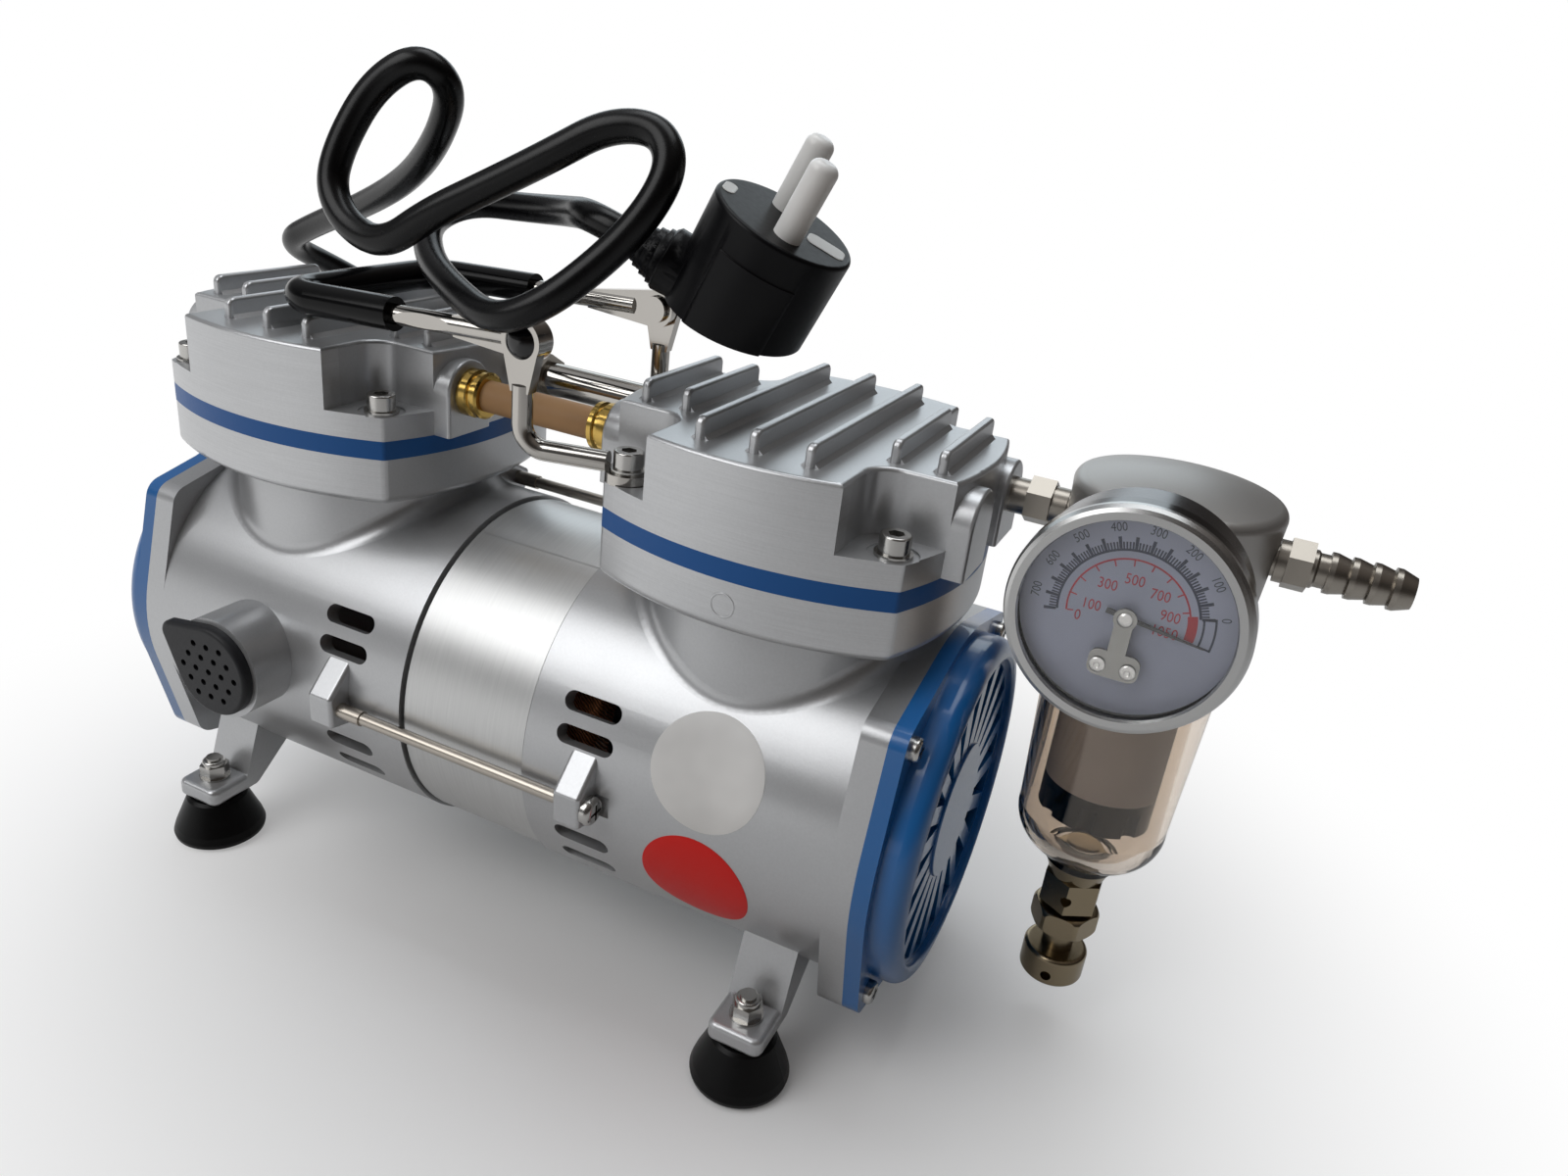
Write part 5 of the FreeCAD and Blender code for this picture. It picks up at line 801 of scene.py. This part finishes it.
def numbers(name, material, size, spots):
    """Printed numbers on the dial: each has its text, its place from the dial's middle and its turn."""
    shape = bmesh.new()
    for text, x, z, turn in spots:
        curve = bpy.data.curves.new(name, "FONT")
        curve.body = text
        curve.size = size * MM
        curve.align_x = "CENTER"
        curve.align_y = "CENTER"
        curve.resolution_u = NUMBER_ROUNDING
        lettering = bpy.data.objects.new(name, curve)
        mesh = bpy.data.meshes.new_from_object(lettering)
        upright = Matrix.Rotation(math.radians(90), 4, "X") @ Matrix.Rotation(turn, 4, "Z")
        narrow = Matrix.Diagonal((NUMBER_WIDTH, 1, 1, 1))
        spot = place(GAUGE_X + x, DIAL_Y - DIAL_LIFT, GAUGE_Z + z)
        mesh.transform(Matrix.Translation(spot) @ upright @ narrow)
        shape.from_mesh(mesh)
        bpy.data.objects.remove(lettering)
        bpy.data.curves.remove(curve)
        bpy.data.meshes.remove(mesh)
    return mesh_piece(name, shape, material)


def red_numbers(finish):
    """Upright numbers of the inner scale."""
    spots = [(*spot, 0.0) for spot in RED_NUMBERS]
    return numbers("dial_red_numbers", finish["red print"], RED_NUMBER_SIZE, spots)


def navy_numbers(finish):
    """Numbers of the outer scale, each turned to face outwards."""
    spots = []
    for value in range(0, NAVY_RANGE, NAVY_NUMBER_EVERY):
        turn = math.radians(navy_angle(value))
        x = NUMBER_RADIUS * math.cos(turn)
        z = NUMBER_RADIUS * math.sin(turn)
        spots.append((str(value), x, z, turn - math.pi / 2))
    return numbers("dial_navy_numbers", finish["grey print"], NAVY_NUMBER_SIZE, spots)


def bridge_screws(finish):
    """Pan heads of the gauge bridge's two screws and the domed end of its pivot."""
    shape = bmesh.new()
    low = -BRIDGE_SCREW_DROP
    heads = ((-BRIDGE_SCREW_SPACING, low, BRIDGE_SCREW_Y, BRIDGE_SCREW_PROFILE),
             (BRIDGE_SCREW_SPACING, low, BRIDGE_SCREW_Y, BRIDGE_SCREW_PROFILE),
             (0.0, 0.0, BRIDGE_PIVOT_Y, BRIDGE_PIVOT_PROFILE))
    turns = [2 * math.pi * k / BRIDGE_SCREW_SIDES for k in range(BRIDGE_SCREW_SIDES)]
    for x, z, face_y, profile in heads:
        rows = [[place(GAUGE_X + x + radius * math.cos(t), face_y - rise, GAUGE_Z + z + radius * math.sin(t))
                 for t in turns] for radius, rise in profile]
        shape.faces.new(grid(shape, rows, closed=True)[-1])
    bmesh.ops.recalc_face_normals(shape, faces=shape.faces)
    return smooth(mesh_piece("bridge_screws", shape, finish["steel"]))


# Plug and cord details

def plug_frame():
    """Unit vectors out of the plug's face, towards its cord arm and across both."""
    out = Vector(PLUG_AXIS).normalized()
    arm = Vector(PLUG_ARM)
    arm = (arm - out * arm.dot(out)).normalized()
    return out, arm, out.cross(arm)


def plug_shell(frame, finish):
    """The plug's body as short as in the photo, with its end closed by one slightly tilted face."""
    out, arm, _ = plug_frame()
    shape = bmesh.new()
    shape.from_mesh(frame["nodes"]["plug_body"].data)
    bmesh.ops.remove_doubles(shape, verts=shape.verts, dist=WELD)
    end = place(*(Vector(PLUG_FACE) - out * PLUG_DEPTH))
    away = -out - arm * PLUG_END_TILT
    every = shape.verts[:] + shape.edges[:] + shape.faces[:]
    cut = bmesh.ops.bisect_plane(shape, geom=every, plane_co=end, plane_no=away, clear_outer=True)
    rim = [item for item in cut["geom_cut"] if isinstance(item, bmesh.types.BMEdge)]
    bmesh.ops.holes_fill(shape, edges=rim, sides=0)
    bmesh.ops.recalc_face_normals(shape, faces=shape.faces)
    shell = smooth(mesh_piece("plug_shell", shape, finish["plug"]))
    shell.modifiers.new("even shading", "WEIGHTED_NORMAL").keep_sharp = True
    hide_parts("plug_body")
    return shell


def strip_outline(near, far, half):
    """Points round a strip with rounded corners, by their reach along it and their distance to the side."""
    radius = min(EARTH_STRIP_CORNER, (far - near) / 2)
    corners = ((far - radius, half - radius, 0), (near + radius, half - radius, 90),
               (near + radius, radius - half, 180), (far - radius, radius - half, 270))
    spots = []
    for reach, side, start in corners:
        for k in range(EARTH_STRIP_CORNER_STEPS + 1):
            turn = math.radians(start + 90 * k / EARTH_STRIP_CORNER_STEPS)
            spots.append((reach + radius * math.cos(turn), side + radius * math.sin(turn)))
    return spots


def earth_strips(finish):
    """Two flat earth strips let into the plug's face, one towards the arm and one opposite."""
    out, arm, across = plug_frame()
    face = Vector(PLUG_FACE)
    shape = bmesh.new()
    for near, far in EARTH_STRIPS:
        rows = []
        for rise, inset in EARTH_STRIP_SECTION:
            ends = strip_outline(near + inset, far - inset, EARTH_STRIP_HALF - inset)
            rows.append([place(*(face + arm * reach + across * side + out * rise)) for reach, side in ends])
        last = grid(shape, rows, closed=True)[-1]
        shape.faces.new(last)
    bmesh.ops.recalc_face_normals(shape, faces=shape.faces)
    return mesh_piece("earth_strips", shape, finish["pale strip"])


def centre_line(cord):
    """Points along the middle of the cord's own spline."""
    bare = cord.data.copy()
    bare.bevel_depth = 0.0
    helper = bpy.data.objects.new("bare line", bare)
    mesh = bpy.data.meshes.new_from_object(helper)
    line = [vertex.co.copy() for vertex in mesh.vertices]
    bpy.data.objects.remove(helper)
    bpy.data.curves.remove(bare)
    bpy.data.meshes.remove(mesh)
    return line


def along(line, distance):
    """Point at a distance along a line of points, and the way that it runs there."""
    for a, b in zip(line, line[1:]):
        step = (b - a).length
        if distance <= step:
            return a + (b - a) * (distance / step), (b - a).normalized()
        distance -= step
    return line[-1], (line[-1] - line[-2]).normalized()


def cord_relief(cord, finish):
    """Tapered ribbed strain relief that follows the cord out of the gland."""
    line = centre_line(cord)
    shape = bmesh.new()
    wide, slim = RELIEF_ENDS
    turns = [2 * math.pi * j / RELIEF_SIDES for j in range(RELIEF_SIDES)]
    rows = []
    for k in range(-1, RELIEF_STEPS + 2):
        part = min(max(k / RELIEF_STEPS, 0.0), 1.0)
        spot, way = along(line, max(part * RELIEF_LENGTH, RELIEF_START) * MM)
        radius = CORD_DIAMETER / 2 - RELIEF_BITE
        if 0 <= k <= RELIEF_STEPS:
            wave = max(0.0, math.sin(2 * math.pi * RELIEF_RIBS * part)) ** 2
            groove = wave * RELIEF_GROOVE * (1 - RELIEF_GROOVE_FADE * part)
            radius = wide + (slim - wide) * part - groove
        side = way.cross(Vector((1, 0, 0))).normalized()
        up = way.cross(side)
        rows.append([spot + (side * math.cos(t) + up * math.sin(t)) * radius * MM for t in turns])
    grid(shape, rows, closed=True)
    bmesh.ops.recalc_face_normals(shape, faces=shape.faces)
    return smooth(mesh_piece("cord_relief", shape, finish["cord"]))


# Camera, floor and light

def camera():
    """Camera at the photo's place and turn."""
    data = bpy.data.cameras.new("photo camera")
    data.sensor_width = SENSOR_WIDTH
    data.lens = FOCAL_PIXELS * SENSOR_WIDTH / PHOTO_WIDTH
    data.clip_start, data.clip_end = CAMERA_CLIP
    eye = bpy.data.objects.new("photo camera", data)
    bpy.context.collection.objects.link(eye)
    turn = Matrix((CAMERA_RIGHT, CAMERA_UP, CAMERA_BACK)).transposed().to_4x4()
    eye.matrix_world = Matrix.Translation(place(*CAMERA_PLACE)) @ turn
    bpy.context.scene.camera = eye


def area_light(name, spot, aim, width, height, power, color):
    """Soft panel light at a point in metres, turned to its aim."""
    data = bpy.data.lights.new(name, "AREA")
    data.color = color
    data.shape = "RECTANGLE"
    data.size = width
    data.size_y = height
    data.energy = power
    lamp = bpy.data.objects.new(name, data)
    bpy.context.collection.objects.link(lamp)
    lamp.location = spot
    lamp.rotation_mode = "QUATERNION"
    lamp.rotation_quaternion = (Vector(aim) - Vector(spot)).to_track_quat("-Z", "Y")


def seen_rays(tree):
    """Masks of what the eye sees, also through clear pieces, and of what shiny and clear pieces see."""
    path = tree.nodes.new("ShaderNodeLightPath")
    through = path.outputs["Is Transmission Ray"]
    to_eye = math_node(tree, "LESS_THAN", path.outputs["Diffuse Depth"], 0.5)
    looked_through = math_node(tree, "MULTIPLY", through, to_eye)
    seen = math_node(tree, "MAXIMUM", path.outputs["Is Camera Ray"], looked_through)
    return seen, math_node(tree, "MAXIMUM", path.outputs["Is Glossy Ray"], through)


def fading(tree, value, span):
    """Smooth mask that falls from one to zero across a span."""
    fade = tree.nodes.new("ShaderNodeMapRange")
    fade.interpolation_type = "SMOOTHSTEP"
    fade.inputs["From Min"].default_value = span[0]
    fade.inputs["From Max"].default_value = span[1]
    fade.inputs["To Min"].default_value = 1.0
    fade.inputs["To Max"].default_value = 0.0
    tree.links.new(value, fade.inputs["Value"])
    return fade.outputs["Result"]


def studio_world():
    """Bright ceiling, darker walls and a pale horizon, dim on the right; white behind the pump."""
    world = bpy.data.worlds.new("studio")
    bpy.context.scene.world = world
    world.use_nodes = True
    tree = world.node_tree
    tree.nodes.clear()
    ramp = tree.nodes.new("ShaderNodeValToRGB")
    stops = ramp.color_ramp.elements
    while len(stops) < len(SKY_LEVELS):
        stops.new(0.5)
    for stop, (height, level) in zip(stops, SKY_LEVELS):
        stop.position = height
        stop.color = (level, level, level * SKY_BLUENESS, 1)
    split = tree.nodes.new("ShaderNodeSeparateXYZ")
    tree.links.new(tree.nodes.new("ShaderNodeTexCoord").outputs["Generated"], split.inputs["Vector"])
    height = math_node(tree, "MULTIPLY_ADD", split.outputs["Z"], 0.5)
    height.node.inputs[2].default_value = 0.5
    tree.links.new(height, ramp.inputs["Fac"])
    bright = fading(tree, split.outputs["X"], BRIGHT_SKY_X)
    shade = tree.nodes.new("ShaderNodeMix")
    shade.data_type = "RGBA"
    shade.blend_type = "MULTIPLY"
    shade.inputs["B"].default_value = (*DIM_SIDE, 1)
    tree.links.new(math_node(tree, "SUBTRACT", 1.0, bright), shade.inputs["Factor"])
    tree.links.new(ramp.outputs["Color"], shade.inputs["A"])
    light = tree.nodes.new("ShaderNodeBackground")
    light.inputs["Strength"].default_value = WORLD_LIGHT
    tree.links.new(shade.outputs["Result"], light.inputs["Color"])
    white = tree.nodes.new("ShaderNodeBackground")
    white.inputs["Color"].default_value = (1, 1, 1, 1)
    low = math_node(tree, "MULTIPLY", fading(tree, split.outputs["Z"], HORIZON_WHITE), bright)
    eye, mirrored = seen_rays(tree)
    mask = math_node(tree, "MAXIMUM", eye, math_node(tree, "MULTIPLY", mirrored, low))
    mix = tree.nodes.new("ShaderNodeMixShader")
    tree.links.new(mask, mix.inputs["Fac"])
    tree.links.new(light.outputs["Background"], mix.inputs[1])
    tree.links.new(white.outputs["Background"], mix.inputs[2])
    output = tree.nodes.new("ShaderNodeOutputWorld")
    tree.links.new(mix.outputs["Shader"], output.inputs["Surface"])


def floor():
    """Pale floor that fades to the white backdrop away from the pump."""
    mesh = bpy.data.meshes.new("floor")
    shape = bmesh.new()
    bmesh.ops.create_circle(shape, cap_ends=True, radius=FLOOR_RADIUS, segments=FLOOR_SIDES)
    shape.to_mesh(mesh)
    shape.free()
    ground = bpy.data.objects.new("floor", mesh)
    bpy.context.collection.objects.link(ground)
    ground.location.z = -FLOOR_DROP
    made = Material("floor paper", FLOOR_TONE, FLOOR_ROUGHNESS)
    tree = made.data.node_tree
    bounced = made.add("ShaderNodeLightPath").outputs["Is Diffuse Ray"]
    made.tint(bounced, FLOOR_TONE, FLOOR_BOUNCE)
    spot = object_point(tree)
    length = made.add("ShaderNodeVectorMath", operation="LENGTH")
    made.link(spot, length.inputs[0])
    split = made.add("ShaderNodeSeparateXYZ")
    made.link(spot, split.inputs["Vector"])
    far = math_node(tree, "SUBTRACT", 1.0, fading(tree, length.outputs["Value"], FLOOR_FADE))
    eye, mirrored = seen_rays(tree)
    lit = math_node(tree, "MULTIPLY", mirrored, fading(tree, split.outputs["X"], BRIGHT_SIDE_X))
    glow = made.add("ShaderNodeEmission")
    glow.inputs["Color"].default_value = (1, 1, 1, 1)
    mix = made.add("ShaderNodeMixShader")
    made.link(math_node(tree, "MULTIPLY", far, math_node(tree, "MAXIMUM", eye, lit)), mix.inputs["Fac"])
    made.link(made.shader.outputs["BSDF"], mix.inputs[1])
    made.link(glow.outputs["Emission"], mix.inputs[2])
    made.link(mix.outputs["Shader"], made.nodes["Material Output"].inputs["Surface"])
    mesh.materials.append(made.data)


def studio():
    """Floor, world and three soft panels: key from the left front, top light, and a cool one far behind."""
    floor()
    studio_world()
    for panel in PANELS:
        area_light(*panel)


def main():
    """Loads the frame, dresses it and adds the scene's own pieces."""
    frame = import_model()
    bpy.context.scene.view_settings.view_transform = "Standard"
    camera()
    finish = finishes()
    dress(frame, finish)
    cord = mains_cord(finish)
    cord_relief(cord, finish)
    plug = [plug_shell(frame, finish), frame["nodes"]["plug_pins"], earth_strips(finish)]
    foil_wrap(finish)
    label_film("silver_label", SILVER_LABEL_ARC, finish["label silver"])
    label_film("red_label", RED_LABEL_ARC, finish["label red"])
    foundry_mark(finish)
    red_scale(finish)
    navy_scale(finish)
    red_numbers(finish)
    navy_numbers(finish)
    bridge_screws(finish)
    studio()


main()
